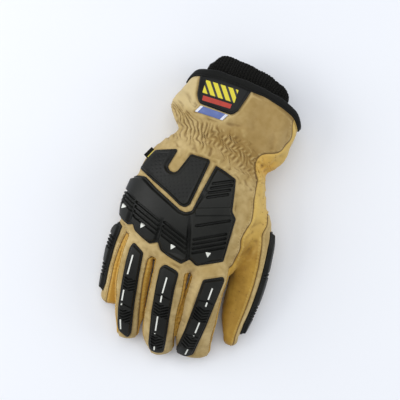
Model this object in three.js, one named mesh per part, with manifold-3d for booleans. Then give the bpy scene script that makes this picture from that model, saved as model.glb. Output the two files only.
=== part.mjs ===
// A right-hand waterproof leather work glove, padded and impact guarded, lying palm down.
// Millimetres, +Z up. The fingers point along -Y, the cuff opens towards +Y, the thumb is at +X.
// The hand, four fingers and thumb are lofts through superellipse sections, joined into one body.
// The body less the same body made one wall smaller is the glove's hollow shell, which the
// seams cut into its sewn panels. The moulded guards are layers that stand on the shell.
import * as THREE from "three";
import { mergeVertices } from "three/addons/utils/BufferGeometryUtils.js";
import Module from "manifold-3d";

const wasm = await Module();
wasm.setup();

// Driving dimensions
const WALL = 2.4; // outer leather or canvas with its lining and padding
const GAP = 0.3; // between a piece and what it is sewn or moulded onto
const GUARD_THICKNESS = 4.5;
const GROOVE_DEPTH = 1.8;
const GROOVE_WIDTH = 1.6;
const JOINT_GROOVE_PITCH = 3.4; // of the ribs that let a finger guard bend
const SLOT_HEIGHT = 8; // of the cutting slots, enough to clear the guard's face
const LABEL_THICKNESS = 1.6;
const TAG_THICKNESS = 0.8;
const BINDING_THICKNESS = 1.2;
const BINDING_WIDTH = 8;
const BINDING_ROOM = 1.1; // between the rim's raw edge and the fold of its tape
const KNIT_WALL = 3.4; // rib knit, folded double
const KNIT_RIB = 0.5; // how far a rib stands proud of the mean surface
const GATHER_DEPTH = 0.9; // of the elastic shirring round the wrist
const MOUTH_REACH = 60; // how far past the rim the cutting body of the hollow runs
const LIMB_REACH = 2.5; // how far past the surface a limb's cutting sector runs
const HAND_REACH = 10;
const SECTOR_FACES = 5; // round the outside of a cutting sector
const PRISM_BOTTOM = 24; // the lowest point that a guard reaches down the side of the hand
const PRISM_TOP = 90;
const CENTRE = { x: 2.5, y: -4.8 }; // middle of the glove's outline in the tables' frame

// How fine the faceted surfaces are: points round a section, and sections between two table rows
const FINENESS = {
  hand: { round: 30, steps: 1 },
  handHollow: { round: 15, steps: 1 },
  limb: { round: 10, steps: 1 },
  limbHollow: { round: 6, steps: 1 },
  knit: { round: 32, steps: 1 },
};

// A table is a list of columns and a row of numbers for each section.
function table(columns, rows) {
  return rows.map((row) =>
    Object.fromEntries(columns.map((name, i) => [name, row[i]])),
  );
}

// The hand from the cuff's rim to the web of the fingers. A section runs from its left edge
// (lx, ly) to its right edge (rx, ry) at height z and is 2h thick. power is the superellipse's
// exponent, arch drops both edges, bulge carries the back's middle towards the cuff, gather is
// the share of the shirring's depth, and seamL and seamR are the angles of the side seams.
const HAND = table(
  ["lx", "ly", "rx", "ry", "z", "h", "power", "arch", "bulge", "gather", "seamL", "seamR"],
  [
    [-56.5, 108.3, 60.2, 104.9, 29.3, 27.5, 2.4, 0, 21, 0, 200, 33],
    [-62.2, 82.6, 59.2, 84.0, 30.5, 32.0, 2.5, 0, 11, 0, 200, 27],
    [-57.0, 71.5, 56.8, 66.6, 30.5, 32.0, 2.5, 0, 6, 0.4, 200, 36],
    [-50.1, 61.0, 45.2, 51.0, 33.0, 26.0, 2.4, 0, 2, 1, 200, 46],
    [-59.8, 46.2, 48.9, 38.9, 35.5, 28.5, 2.3, 1, 0, 0.5, 200, 39],
    [-68.7, 27.5, 55.5, 22.0, 37.5, 30.0, 2.2, 3, 0, 0, 200, 41],
    [-72.8, 3.0, 60.0, 2.0, 40.5, 28.5, 2.2, 5, 0, 0, 200, 40],
    [-73.6, -24.0, 56.0, -25.0, 42.5, 25.0, 2.2, 6, 0, 0, 200, 36],
    [-67.0, -44.0, 50.0, -45.0, 42.5, 20.5, 2.2, 6, 0, 0, 200, 24],
    [-60.0, -55.0, 44.0, -56.0, 43.0, 15.5, 2.2, 5, 0, 0, 200, 20],
  ],
);
const HAND_END = { length: 9, power: 2.2 }; // the rounded web past the last section
const TIP_SHARE = 0.8; // of a rounded end's length, where its one section stands

// How the rim's bulge falls off towards its left and right side, and its share on the palm side
const RIM_BULGE = { leftPower: 8, rightPower: 3.5, palmShare: 0.15 };

// Fingers and thumb: the centre line x, y, z, half the width w and half the thickness h, and
// the roll of the back of the finger about the centre line, in degrees towards +X.
const LIMB_COLUMNS = ["x", "y", "z", "w", "h", "roll"];
const LIMBS = {
  index: {
    rows: table(LIMB_COLUMNS, [
      [25.5, -34.0, 44.0, 16.0, 12.5, 6],
      [27.6, -58.7, 45.5, 17.4, 14.0, 8],
      [30.0, -89.2, 38.0, 17.8, 14.0, 8],
      [32.1, -116.5, 25.5, 17.2, 13.0, 6],
      [34.6, -133.0, 12.4, 14.8, 12.0, 4],
    ]),
    tip: { length: 11, power: 2.6 },
    seams: { left: [145, 215], right: [25, 25] },
    guard: { from: 0.26, to: 1, start: 7.5, width: 9.3, end: 7.5, joints: [0.53, 0.8], overTip: 3 },
  },
  middle: {
    rows: table(LIMB_COLUMNS, [
      [-11.0, -36.0, 46.5, 16.0, 12.5, -6],
      [-9.4, -65.9, 47.5, 16.8, 14.0, -7],
      [-4.9, -97.9, 38.0, 16.8, 14.0, -6],
      [-0.3, -128.4, 23.5, 16.4, 13.0, -3],
      [3.4, -141.0, 12.2, 14.6, 11.8, 0],
    ]),
    tip: { length: 10, power: 2.6 },
    seams: { left: [145, 215], right: [35, -35] },
    guard: { from: 0.26, to: 1, start: 5.5, width: 8.9, end: 7.2, joints: [0.55, 0.82], overTip: 1.5 },
  },
  ring: {
    rows: table(LIMB_COLUMNS, [
      [-45.0, -36.0, 42.0, 14.5, 12.0, -10],
      [-45.2, -60.8, 43.5, 15.0, 13.2, -10],
      [-42.8, -88.1, 38.0, 15.2, 13.2, -10],
      [-37.6, -116.0, 25.5, 15.0, 12.8, -9],
      [-32.4, -136.5, 12.0, 13.6, 11.6, -8],
    ]),
    tip: { length: 10, power: 2.6 },
    seams: { left: [145, 215], right: [35, -35] },
    guard: { from: 0.2, to: 1, start: 5, width: 7.6, end: 6, joints: [0.5, 0.8], overTip: 2.5 },
  },
  little: {
    rows: table(LIMB_COLUMNS, [
      [-58.5, -32.0, 35.0, 12.5, 11.5, -40],
      [-63.0, -53.0, 26.5, 13.4, 11.2, -60],
      [-61.6, -78.0, 18.0, 13.4, 10.8, -72],
      [-58.6, -99.0, 13.8, 12.8, 10.4, -75],
      [-57.0, -112.0, 11.6, 11.6, 9.6, -75],
    ]),
    tip: { length: 9, power: 2.5 },
    seams: { left: [205, 205], right: [35, -35] },
    guard: { from: 0.12, to: 0.95, start: 5.5, width: 6.8, end: 5.5, joints: [0.42, 0.74], overTip: 0 },
  },
  thumb: {
    rows: table(LIMB_COLUMNS, [
      [36.0, 14.0, 36.0, 14.0, 17.0, 78],
      [47.0, 3.0, 33.0, 16.0, 18.0, 80],
      [55.0, -11.0, 29.8, 16.4, 18.2, 82],
      [60.3, -30.0, 26.0, 15.5, 16.8, 83],
      [64.2, -55.0, 20.5, 14.6, 16.0, 84],
      [65.0, -80.0, 16.0, 14.2, 15.2, 84],
      [66.4, -99.0, 12.6, 12.6, 11.2, 83],
      [68.4, -110.5, 11.0, 10.8, 7.0, 82],
    ]),
    tip: { length: 10, power: 2.3 },
    seams: { left: [128, 128], right: [40, 40] },
    guard: { from: 0.24, to: 0.9, start: 6, width: 7.6, end: 5, joints: [0.5, 0.8], overTip: 0 },
  },
};

// Outlines seen from above, of the pieces that lie on the back of the hand
const KNUCKLE_OUTLINE = [
  [-84, -2], [-70.9, 6.9], [-62.9, 8.2], [-50, 1.4], [-20.8, -10.6], [-14.9, -11.1],
  [-9.6, -7.5], [-6.8, 16.1], [-3.1, 41.2], [7.6, 38.9], [19.2, 35.4], [22.1, 24.6],
  [26.4, 5.5], [32.2, -0.2], [32.7, -9.9], [35, -42.9], [24.1, -48.9], [11.9, -55.4],
  [3.8, -51.5], [-2.5, -58.6], [-16.8, -55.9], [-25.3, -52.8], [-30.2, -46.2],
  [-37.6, -50.6], [-47.2, -47.4], [-54.8, -44], [-58.9, -38.2], [-63, -40.8],
  [-71.2, -38.1], [-84, -30],
];
const METACARPAL_OUTLINE = [
  [-62.7, 35.8], [-43.7, 43.5], [-42.6, 41.9], [-46, 24.6], [-42.8, 21.6], [-38.1, 21.4],
  [-35.5, 24.2], [-29.2, 43.5], [-11, 44.5], [-9.5, 42], [-11.6, 19.5], [-13.8, -1.4],
  [-17.6, -5.3], [-21.7, -5.3], [-37.6, 1.8], [-54.4, 8.1], [-70.3, 14.9], [-68.4, 23.9],
];
const LABEL_OUTLINE = [
  [-46.5, 114.5], [-42.8, 100.4], [-36.3, 91.4], [-7.3, 91.4], [-1.7, 96], [4, 115],
];
const TAG_OUTLINE = [[-36.4, 90.4], [-8.7, 90.6], [-12.1, 84], [-39.8, 83.4]];
const SIDE_TAG = { x: -67.6, y: 32, z: 41, width: 7, length: 11, thickness: 1.4, turn: -25 };

// Grooves moulded across the knuckle guard: middle of the first groove, its direction in
// degrees and its length, and how many follow at what step towards the fingers
const GROOVES = table(
  ["x", "y", "turn", "length", "count", "stepX", "stepY"],
  [
    [-69.5, -12.5, -25, 12, 4, 0.2, -3.6],
    [-48.0, -21.5, -19, 27, 4, 0.5, -4.2],
    [-17.2, -29.8, -18, 27, 4, 0.6, -4.0],
    [8.5, 28.0, 28, 19, 4, -0.2, -4.6],
    [12.4, -11.2, 29, 31, 1, 0, 0],
    [14.0, -24.0, 30, 30, 4, 1.0, -4.1],
  ],
);

// The knit wrist inside the cuff, in the hand table's columns: sewn in at the wrist, open at
// the far end, which stands out of the rim
const KNIT = table(
  ["lx", "ly", "rx", "ry", "z", "h", "power", "arch", "bulge", "gather"],
  [
    [-43.0, 129.0, 43.0, 121.0, 28.0, 20.5, 2.3, 0, 17, 1],
    [-46.0, 100.0, 46.0, 98.0, 30.0, 21.5, 2.3, 0, 8, 1],
    [-48.0, 78.0, 46.0, 74.0, 32.0, 22.5, 2.3, 0, 4, 1],
    [-46.6, 62.5, 41.5, 53.0, 33.0, 22.5, 2.4, 0, 2, 1],
  ],
);

const radians = THREE.MathUtils.degToRad;
const lerp = THREE.MathUtils.lerp;
const UP = new THREE.Vector3(0, 0, 1);
const ORIGIN = new THREE.Vector2();

// Catmull-Rom value of every column at a place between the rows, counted in rows.
function sample(rows, place) {
  const last = rows.length - 1;
  const i = Math.min(Math.floor(place), last - 1);
  const f = place - i;
  const [a, b, c, d] = [i - 1, i, i + 1, i + 2].map(
    (k) => rows[Math.min(Math.max(k, 0), last)],
  );
  const value = {};
  for (const name of Object.keys(b)) {
    const [p, q, r, s] = [a[name], b[name], c[name], d[name]];
    value[name] =
      q +
      0.5 * f * (r - p + f * (2 * p - 5 * q + 4 * r - s + f * (3 * (q - r) + s - p)));
  }
  return value;
}

// A hand section's own frame: centre, across u, back v, along t towards the fingers.
function handFrame(row) {
  const left = new THREE.Vector3(row.lx, row.ly, row.z);
  const right = new THREE.Vector3(row.rx, row.ry, row.z);
  const u = right.clone().sub(left);
  const w = u.length() / 2;
  u.normalize();
  const centre = left.add(right).multiplyScalar(0.5);
  const v = UP.clone();
  return { ...row, w, centre, u, v, t: u.clone().cross(v) };
}

function limbFrame(rows, place) {
  const row = sample(rows, place);
  const step = 0.02;
  const before = sample(rows, Math.max(place - step, 0));
  const after = sample(rows, Math.min(place + step, rows.length - 1));
  const t = new THREE.Vector3(after.x - before.x, after.y - before.y, after.z - before.z);
  t.normalize();
  const v = UP.clone().addScaledVector(t, -UP.dot(t)).normalize();
  v.applyAxisAngle(t, -radians(row.roll));
  const u = v.clone().cross(t);
  const centre = new THREE.Vector3(row.x, row.y, row.z);
  return { power: 2.3, arch: 0, bulge: 0, gather: 0, ...row, centre, u, v, t };
}

// Sections from the first row to the rounded end. The end's section is shrunk along an arc.
function sections(frameAt, rowCount, end, steps) {
  const list = [];
  const count = (rowCount - 1) * steps;
  for (let i = 0; i <= count; i += 1) list.push({ ...frameAt(i / steps), shrink: 1, ahead: 0 });
  if (!end) return list;
  const last = list[list.length - 1];
  const shrink = (1 - TIP_SHARE ** end.power) ** (1 / end.power);
  list.push({ ...last, shrink, ahead: TIP_SHARE * end.length });
  return list;
}

const handSections = (rows, end, steps) =>
  sections((place) => handFrame(sample(rows, place)), rows.length, end, steps);
const limbSections = (limb, steps) =>
  sections((place) => limbFrame(limb.rows, place), limb.rows.length, limb.tip, steps);

// A point of a section at an angle, in degrees, from its right edge round over its back.
// grow moves the surface out, or in where it is less than 0.
function sectionPoint(section, degrees, grow) {
  const c = Math.cos(radians(degrees));
  const s = Math.sin(radians(degrees));
  const e = 2 / section.power;
  const w = section.w * section.shrink + grow;
  const h = section.h * section.shrink + grow;
  const across = Math.sign(c) * Math.abs(c) ** e;
  const over = Math.sign(s) * Math.abs(s) ** e;
  const x = w * across;
  const z = h * over - section.arch * across ** 2;
  const fall = across < 0 ? RIM_BULGE.leftPower : RIM_BULGE.rightPower;
  const share = s > 0 ? 1 : RIM_BULGE.palmShare;
  const back = section.bulge * share * (1 - Math.abs(across) ** fall);
  return section.centre
    .clone()
    .addScaledVector(section.u, x)
    .addScaledVector(section.v, z)
    .addScaledVector(section.t, section.ahead * (1 + grow / 12) - back);
}

const middleOf = (ring) =>
  ring.reduce((sum, p) => sum.add(p), new THREE.Vector3()).divideScalar(ring.length);

// A closed solid through rings of points, each end closed by a fan to its middle or, at the
// last ring, to a tip where one is given.
function loft(rings, tip = middleOf(rings[rings.length - 1])) {
  const size = rings[0].length;
  const points = [...rings.flat(), middleOf(rings[0]), tip];
  const first = points.length - 2;
  const faces = [];
  for (let i = 0; i < size; i += 1) {
    const j = (i + 1) % size;
    for (let k = 0; k + 1 < rings.length; k += 1) {
      const a = k * size;
      const b = a + size;
      faces.push(a + i, b + i, a + j, a + j, b + i, b + j);
    }
    const end = (rings.length - 1) * size;
    faces.push(first, i, j);
    faces.push(first + 1, end + j, end + i);
  }
  return solid(points, faces);
}

function solid(points, faces) {
  const position = new Float32Array(points.flatMap((p) => [p.x, p.y, p.z]));
  const build = (triVerts) =>
    new wasm.Manifold(
      new wasm.Mesh({ numProp: 3, vertProperties: position, triVerts: new Uint32Array(triVerts) }),
    );
  const made = build(faces);
  if (made.volume() > 0) return made;
  const turned = [];
  for (let i = 0; i < faces.length; i += 3) turned.push(faces[i], faces[i + 2], faces[i + 1]);
  return build(turned);
}

// A ring of points round a section. floor keeps the underside flat where the glove rests.
function bodyRing(section, round, grow, floor) {
  const ring = [];
  for (let i = 0; i < round; i += 1) {
    const fold = i % 2 ? -1 : 1;
    const point = sectionPoint(section, (i * 360) / round, grow + fold * section.gather);
    point.z = Math.max(point.z, floor);
    ring.push(point);
  }
  return ring;
}

// One limb or the hand as a solid: the outside where grow is 0 or more, else the hollow.
function bodySolid(list, round, grow, folds) {
  const floor = Math.max(0, -grow);
  const rings = list.map((section) =>
    bodyRing({ ...section, gather: section.gather * folds }, round, grow, floor),
  );
  const opens = "ly" in list[0] && grow < 0;
  if (opens) {
    rings.unshift(
      rings[0].map((p) => p.clone().addScaledVector(list[0].t, -MOUTH_REACH)),
    );
  }
  const end = list[list.length - 1];
  const tip = middleOf(rings[rings.length - 1]);
  tip.addScaledVector(end.t, (end.ahead * (1 + grow / 12) * (1 - TIP_SHARE)) / TIP_SHARE);
  return loft(rings, tip);
}

const joined = (solids) => solids.reduce((all, one) => all.add(one));
const largest = (made) =>
  made.decompose().reduce((most, one) => (one.volume() > most.volume() ? one : most));

const handOutside = (grow) =>
  bodySolid(
    handSections(HAND, HAND_END, FINENESS.hand.steps),
    FINENESS.hand.round,
    grow,
    GATHER_DEPTH,
  );
const limbOutside = (limb, grow) =>
  bodySolid(limbSections(limb, FINENESS.limb.steps), FINENESS.limb.round, grow, 0);
const wholeOutside = (grow) =>
  joined([
    handOutside(grow),
    ...Object.values(LIMBS).map((limb) => limbOutside(limb, grow)),
  ]);
const hollow = (inset) =>
  joined([
    bodySolid(
      handSections(HAND, HAND_END, FINENESS.handHollow.steps),
      FINENESS.handHollow.round,
      -inset,
      0,
    ),
    ...Object.values(LIMBS).map((limb) =>
      bodySolid(
        limbSections(limb, FINENESS.limbHollow.steps),
        FINENESS.limbHollow.round,
        -inset,
        0,
      ),
    ),
  ]);

// The wedge of a limb between two seam angles, from its centre line to past its surface.
// anglesAt gives the two angles at a section; grow moves both cut faces out by that much.
function sector(list, anglesAt, grow, reach = LIMB_REACH) {
  const rings = list.map((section, i) => {
    const [from, to] = anglesAt(section, i);
    const ring = [section.centre.clone()];
    for (let k = 0; k <= SECTOR_FACES; k += 1) {
      const degrees = lerp(from, to, k / SECTOR_FACES);
      const arm = sectionPoint(section, degrees, 0).sub(section.centre);
      arm.setLength(arm.length() + reach + 2 * grow);
      ring.push(arm.add(section.centre));
    }
    const end = ring.length - 1;
    const outward = (p, q, sign) =>
      q.clone().sub(p).cross(section.t).normalize().multiplyScalar(sign * grow);
    const first = outward(ring[0], ring[1], 1);
    const last = outward(ring[0], ring[end], -1);
    ring[0].add(first.clone().add(last).multiplyScalar(0.5));
    ring[1].add(first);
    ring[end].add(last);
    return ring;
  });
  return loft(rings);
}

// An upright prism over an outline seen from above.
function prism(outline, bottom = PRISM_BOTTOM, top = PRISM_TOP) {
  const shape = new THREE.Shape(outline.map(([x, y]) => new THREE.Vector2(x, y)));
  const geometry = new THREE.ExtrudeGeometry(shape, { depth: top - bottom, bevelEnabled: false });
  geometry.translate(0, 0, bottom);
  return fromGeometry(geometry);
}

function fromGeometry(geometry) {
  geometry.deleteAttribute("normal");
  geometry.deleteAttribute("uv");
  const merged = mergeVertices(geometry, 1e-4);
  return new wasm.Manifold(
    new wasm.Mesh({
      numProp: 3,
      vertProperties: merged.attributes.position.array,
      triVerts: new Uint32Array(merged.index.array),
    }),
  );
}

function meshGeometry(made) {
  const mesh = made.getMesh();
  const geometry = new THREE.BufferGeometry();
  geometry.setAttribute("position", new THREE.BufferAttribute(mesh.vertProperties, 3));
  geometry.setIndex(new THREE.BufferAttribute(mesh.triVerts, 1));
  return geometry;
}

function box(size, place, turn = 0) {
  const geometry = new THREE.BoxGeometry(...size);
  geometry.rotateZ(radians(turn));
  geometry.translate(...place);
  return fromGeometry(geometry);
}

// The shell and its panels
const outside = wholeOutside(0);
const shell = outside.subtract(hollow(WALL));
const skin = wholeOutside(GAP); // what the pieces on top of the shell stand on

const handList = handSections(HAND, HAND_END, FINENESS.hand.steps);
const lists = Object.fromEntries(
  Object.entries(LIMBS).map(([name, limb]) => [name, limbSections(limb, FINENESS.limb.steps)]),
);

function palmRegion(grow) {
  const seams = (section) => [section.seamL - 360, section.seamR];
  const hand = sector(handList, seams, grow, HAND_REACH);
  const fingers = ["index", "middle", "ring", "little"].map((name) => {
    const { left, right } = LIMBS[name].seams;
    return sector(lists[name], () => [left[1] - 360, right[1]], grow);
  });
  const thumb = loft(lists.thumb.map((section) => bodyRing(section, 12, LIMB_REACH + grow, -5)));
  return joined([hand, thumb, ...fingers]);
}

// The strip between two fingers: the facing side of each, joined round the crotch.
function forkRegion(nearer, further, grow) {
  const right = LIMBS[nearer].seams.right;
  const left = LIMBS[further].seams.left;
  return sector(lists[nearer].slice(0, -1), () => [right[1], right[0]], grow).add(
    sector(lists[further].slice(0, -1), () => [left[0], left[1]], grow),
  );
}

function thumbBackRegion(grow) {
  const { left, right } = LIMBS.thumb.seams;
  return sector(lists.thumb.slice(2, -1), () => [right[0], left[0]], grow);
}

const FORKS = {
  fourchette_index_middle: ["middle", "index"],
  fourchette_middle_ring: ["ring", "middle"],
  fourchette_ring_little: ["little", "ring"],
};
const forks = (grow) => Object.values(FORKS).map(([a, b]) => forkRegion(a, b, grow));

const solids = {};
solids.palm_leather = shell
  .intersect(palmRegion(0))
  .subtract(joined([...forks(GAP), thumbBackRegion(GAP)]));
solids.back_canvas = shell.subtract(
  joined([palmRegion(GAP), ...forks(GAP), thumbBackRegion(GAP)]),
);
solids.thumb_back = shell.intersect(thumbBackRegion(0));
for (const [name, [nearer, further]] of Object.entries(FORKS)) {
  solids[name] = shell.intersect(forkRegion(nearer, further, 0));
}

// A layer of a thickness that lies on the shell inside an upright outline
const layer = (cutter, thickness) =>
  wholeOutside(GAP + thickness).intersect(cutter).subtract(skin);

// Where an upright line through (x, y) first meets a solid from above, and the normal there
function surfaceFinder(made) {
  const geometry = meshGeometry(made).toNonIndexed();
  geometry.computeVertexNormals();
  const mesh = new THREE.Mesh(geometry);
  const down = new THREE.Vector3(0, 0, -1);
  return (x, y) => {
    const ray = new THREE.Raycaster(new THREE.Vector3(x, y, PRISM_TOP), down);
    const hit = ray.intersectObject(mesh)[0];
    return { point: hit.point, normal: hit.face.normal };
  };
}

// A straight slot between two points of the core that lies under a guard's grooves
function slot(from, to) {
  const along = to.point.clone().sub(from.point);
  const length = along.length();
  along.normalize();
  const out = from.normal.clone().add(to.normal);
  out.addScaledVector(along, -out.dot(along)).normalize();
  const side = out.clone().cross(along);
  const geometry = new THREE.BoxGeometry(length, GROOVE_WIDTH, SLOT_HEIGHT);
  const middle = from.point.clone().lerp(to.point, 0.5).addScaledVector(out, SLOT_HEIGHT / 2);
  const place = new THREE.Matrix4().makeBasis(along, side, out).setPosition(middle);
  return fromGeometry(geometry.applyMatrix4(place));
}

function grooveSlots() {
  const find = surfaceFinder(wholeOutside(GAP + GUARD_THICKNESS - GROOVE_DEPTH));
  const slots = [];
  for (const row of GROOVES) {
    const across = new THREE.Vector2(row.length / 2, 0).rotateAround(ORIGIN, radians(row.turn));
    const step = new THREE.Vector2(row.stepX, row.stepY);
    for (let i = 0; i < row.count; i += 1) {
      const middle = new THREE.Vector2(row.x, row.y).addScaledVector(step, i);
      const [from, to] = [-1, 1].map((end) => middle.clone().addScaledVector(across, end));
      slots.push(slot(find(from.x, from.y), find(to.x, to.y)));
    }
  }
  return joined(slots);
}

// A stripe along the back of a limb, from one share of its length to another and, where
// overTip is given, that far on over the tip. widthAt gives half its width at a share, and
// bottom how high over the centre line it starts.
function stripe(limb, from, to, widthAt, { overTip = 0, steps = 8, bottomAt = () => 0 } = {}) {
  const last = limb.rows.length - 1;
  const rings = [];
  for (let i = 0; i <= steps; i += 1) {
    const share = lerp(from, to, i / steps);
    const frame = limbFrame(limb.rows, share * last);
    rings.push(stripeRing(frame, widthAt(share), bottomAt(frame), 0));
  }
  if (overTip) {
    rings.push(stripeRing(limbFrame(limb.rows, last), widthAt(1) - 1.5, 0, overTip));
  }
  return loft(rings);
}

function stripeRing(frame, halfWidth, bottom, ahead) {
  const top = frame.h + GUARD_THICKNESS * 2;
  return [[-1, bottom], [1, bottom], [1, top], [-1, top]].map(([side, up]) =>
    frame.centre
      .clone()
      .addScaledVector(frame.u, side * halfWidth)
      .addScaledVector(frame.v, up)
      .addScaledVector(frame.t, ahead),
  );
}

function limbGuard(limb) {
  const { from, to, start, width, end, joints, overTip } = limb.guard;
  const widthAt = (share) => {
    const shoulder = from + 0.06;
    if (share < shoulder) return lerp(start, width, (share - from) / (shoulder - from));
    return lerp(width, end, (share - shoulder) / (1 - shoulder));
  };
  const length = limbLength(limb);
  const bottomAt = (frame) => frame.h + GAP + GUARD_THICKNESS - GROOVE_DEPTH;
  const slots = joints.flatMap((joint) =>
    [-1, 0, 1].map((k) => {
      const at = joint + (k * JOINT_GROOVE_PITCH) / length;
      const half = GROOVE_WIDTH / 2 / length;
      return stripe(limb, at - half, at + half, () => width + 1, { steps: 1, bottomAt });
    }),
  );
  return limbOutside(limb, GAP + GUARD_THICKNESS)
    .intersect(stripe(limb, from, to, widthAt, { overTip }))
    .subtract(joined(slots))
    .subtract(skin);
}

function limbLength(limb) {
  let length = 0;
  limb.rows.slice(1).forEach((row, i) => {
    const before = limb.rows[i];
    length += Math.hypot(row.x - before.x, row.y - before.y, row.z - before.z);
  });
  return length;
}

const handHollow = (inset) =>
  bodySolid(
    handSections(HAND, HAND_END, FINENESS.handHollow.steps),
    FINENESS.handHollow.round,
    -inset,
    0,
  );

// Points round the cuff, grown from its surface, at a distance behind the rim or, where that
// is less than 0, past it. The hollow's coarser ring is brought to as many points as the hand's.
function cuffRing(grow, behind) {
  const round = grow < 0 ? FINENESS.handHollow.round : FINENESS.hand.round;
  const [rim, next] = handSections(HAND.slice(0, 2), null, 1);
  const share = Math.max(behind, 0) / (HAND[0].ly - HAND[1].ly);
  const further = bodyRing(next, round, grow, Math.max(0, -grow));
  const ring = bodyRing(rim, round, grow, Math.max(0, -grow)).map((point, i) =>
    point.lerp(further[i], share).addScaledVector(rim.t, Math.min(behind, 0)),
  );
  if (round === FINENESS.hand.round) return ring;
  return ring.flatMap((point, i) => [
    point,
    point.clone().lerp(ring[(i + 1) % round], 0.5),
  ]);
}

// The tape folded over the rim: a closed ring with a U-shaped section
function cuffBinding() {
  const over = BINDING_ROOM + BINDING_THICKNESS;
  const grown = GAP + BINDING_THICKNESS;
  const loops = [
    cuffRing(grown, BINDING_WIDTH),
    cuffRing(grown, -over),
    cuffRing(-WALL - grown, -over),
    cuffRing(-WALL - grown, BINDING_WIDTH),
    cuffRing(-WALL - GAP, BINDING_WIDTH),
    cuffRing(-WALL - GAP, -BINDING_ROOM),
    cuffRing(GAP, -BINDING_ROOM),
    cuffRing(GAP, BINDING_WIDTH),
  ];
  return closedRing(loops);
}

// A solid whose surface runs round through the loops of points and back to the first loop
function closedRing(loops) {
  const size = loops[0].length;
  const faces = [];
  loops.forEach((_, k) => {
    const a = k * size;
    const b = ((k + 1) % loops.length) * size;
    for (let i = 0; i < size; i += 1) {
      const j = (i + 1) % size;
      faces.push(a + i, b + i, a + j, a + j, b + i, b + j);
    }
  });
  return solid(loops.flat(), faces);
}

// What the binding takes up, filled, so that what lies beside it is cut clear of it
const bindingRoom = () =>
  loft([
    cuffRing(2 * GAP + BINDING_THICKNESS, BINDING_WIDTH + GAP),
    cuffRing(2 * GAP + BINDING_THICKNESS, -BINDING_ROOM - BINDING_THICKNESS - GAP),
  ]);

function knitCuff() {
  const { round, steps } = FINENESS.knit;
  const list = handSections(KNIT, null, steps);
  const outer = loft(
    list.map((section) => bodyRing({ ...section, gather: KNIT_RIB }, round, 0, 0)),
  );
  const bore = list.map((section) =>
    bodyRing({ ...section, gather: 0 }, round / 2, -KNIT_WALL, 0),
  );
  const shift = (ring, t, distance) =>
    ring.map((point) => point.clone().addScaledVector(t, distance));
  bore.unshift(shift(bore[0], list[0].t, -MOUTH_REACH));
  bore.push(shift(bore[bore.length - 1], list[list.length - 1].t, MOUTH_REACH));
  return outer.subtract(loft(bore)).intersect(handHollow(WALL + GAP));
}

function labelPatch() {
  return layer(prism(LABEL_OUTLINE), LABEL_THICKNESS).subtract(bindingRoom());
}

function sideTag() {
  const { x, y, z, width, length, thickness, turn } = SIDE_TAG;
  return box([width, length, thickness], [x, y, z], turn).subtract(skin);
}

const GUARD_LOOK = { color: 0x2c2d28, roughness: 0.55 };
const LOOKS = {
  back_canvas: { color: 0xbba97a, roughness: 0.9 },
  palm_leather: { color: 0xbea858, roughness: 0.7 },
  thumb_back: { color: 0xbba97a, roughness: 0.9 },
  fourchette_index_middle: { color: 0xb49a4a, roughness: 0.7 },
  fourchette_middle_ring: { color: 0xb49a4a, roughness: 0.7 },
  fourchette_ring_little: { color: 0xb49a4a, roughness: 0.7 },
  cuff_binding: { color: 0x222221, roughness: 0.8 },
  knit_cuff: { color: 0x23221d, roughness: 1 },
  label_patch: { color: 0x1f2020, roughness: 0.5 },
  woven_tag: { color: 0x5a6eaa, roughness: 0.8 },
  side_tag: { color: 0x2a2a26, roughness: 0.8 },
};

solids.cuff_binding = cuffBinding();
solids.knit_cuff = knitCuff();
solids.label_patch = labelPatch();
solids.woven_tag = layer(prism(TAG_OUTLINE), TAG_THICKNESS);
solids.side_tag = sideTag();
solids.knuckle_guard = layer(prism(KNUCKLE_OUTLINE), GUARD_THICKNESS).subtract(grooveSlots());
solids.metacarpal_guard = layer(prism(METACARPAL_OUTLINE), GUARD_THICKNESS);
for (const [name, limb] of Object.entries(LIMBS)) solids[`${name}_guard`] = limbGuard(limb);

const glove = new THREE.Group();
for (const [name, made] of Object.entries(solids)) {
  const piece = new THREE.Mesh(
    meshGeometry(largest(made)),
    new THREE.MeshStandardMaterial(LOOKS[name] ?? GUARD_LOOK),
  );
  piece.name = name;
  glove.add(piece);
}
glove.position.set(-CENTRE.x, -CENTRE.y, 0);

export default glove;
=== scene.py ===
"""A right-hand waterproof leather work glove, padded and impact guarded, lying palm down.

The hand, fingers and thumb are lofted from the same tables as the solids, joined and
smoothed into one skin, which the seams cut into its sewn panels. The moulded guards, the
label and the white marks are patches of that skin, raised to their own profiles.
Lengths are in millimetres and angles in degrees. The tables have a frame of their own:
x to the thumb's side, y out of the cuff, z up from the table. Finished meshes are in metres
about CENTRE.
"""
import math

import bpy
import numpy as np

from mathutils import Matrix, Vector
from mathutils.kdtree import KDTree


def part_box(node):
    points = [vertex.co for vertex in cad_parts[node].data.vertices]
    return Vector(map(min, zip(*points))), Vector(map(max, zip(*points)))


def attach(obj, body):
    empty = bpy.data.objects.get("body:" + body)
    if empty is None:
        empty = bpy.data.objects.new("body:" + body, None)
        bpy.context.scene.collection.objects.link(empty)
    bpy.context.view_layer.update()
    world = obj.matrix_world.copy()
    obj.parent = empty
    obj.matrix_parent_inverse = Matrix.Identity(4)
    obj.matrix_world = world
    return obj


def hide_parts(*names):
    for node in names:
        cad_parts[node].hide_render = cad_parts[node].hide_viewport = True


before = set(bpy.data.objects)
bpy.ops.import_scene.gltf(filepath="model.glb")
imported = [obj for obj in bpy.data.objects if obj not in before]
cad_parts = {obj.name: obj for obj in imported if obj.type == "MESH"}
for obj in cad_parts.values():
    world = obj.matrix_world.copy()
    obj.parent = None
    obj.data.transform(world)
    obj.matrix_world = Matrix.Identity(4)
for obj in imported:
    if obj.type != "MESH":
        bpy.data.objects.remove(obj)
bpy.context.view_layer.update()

# Driving dimensions
CENTRE = np.array([2.5, -4.8, 0.0])  # middle of the glove's outline
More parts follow.
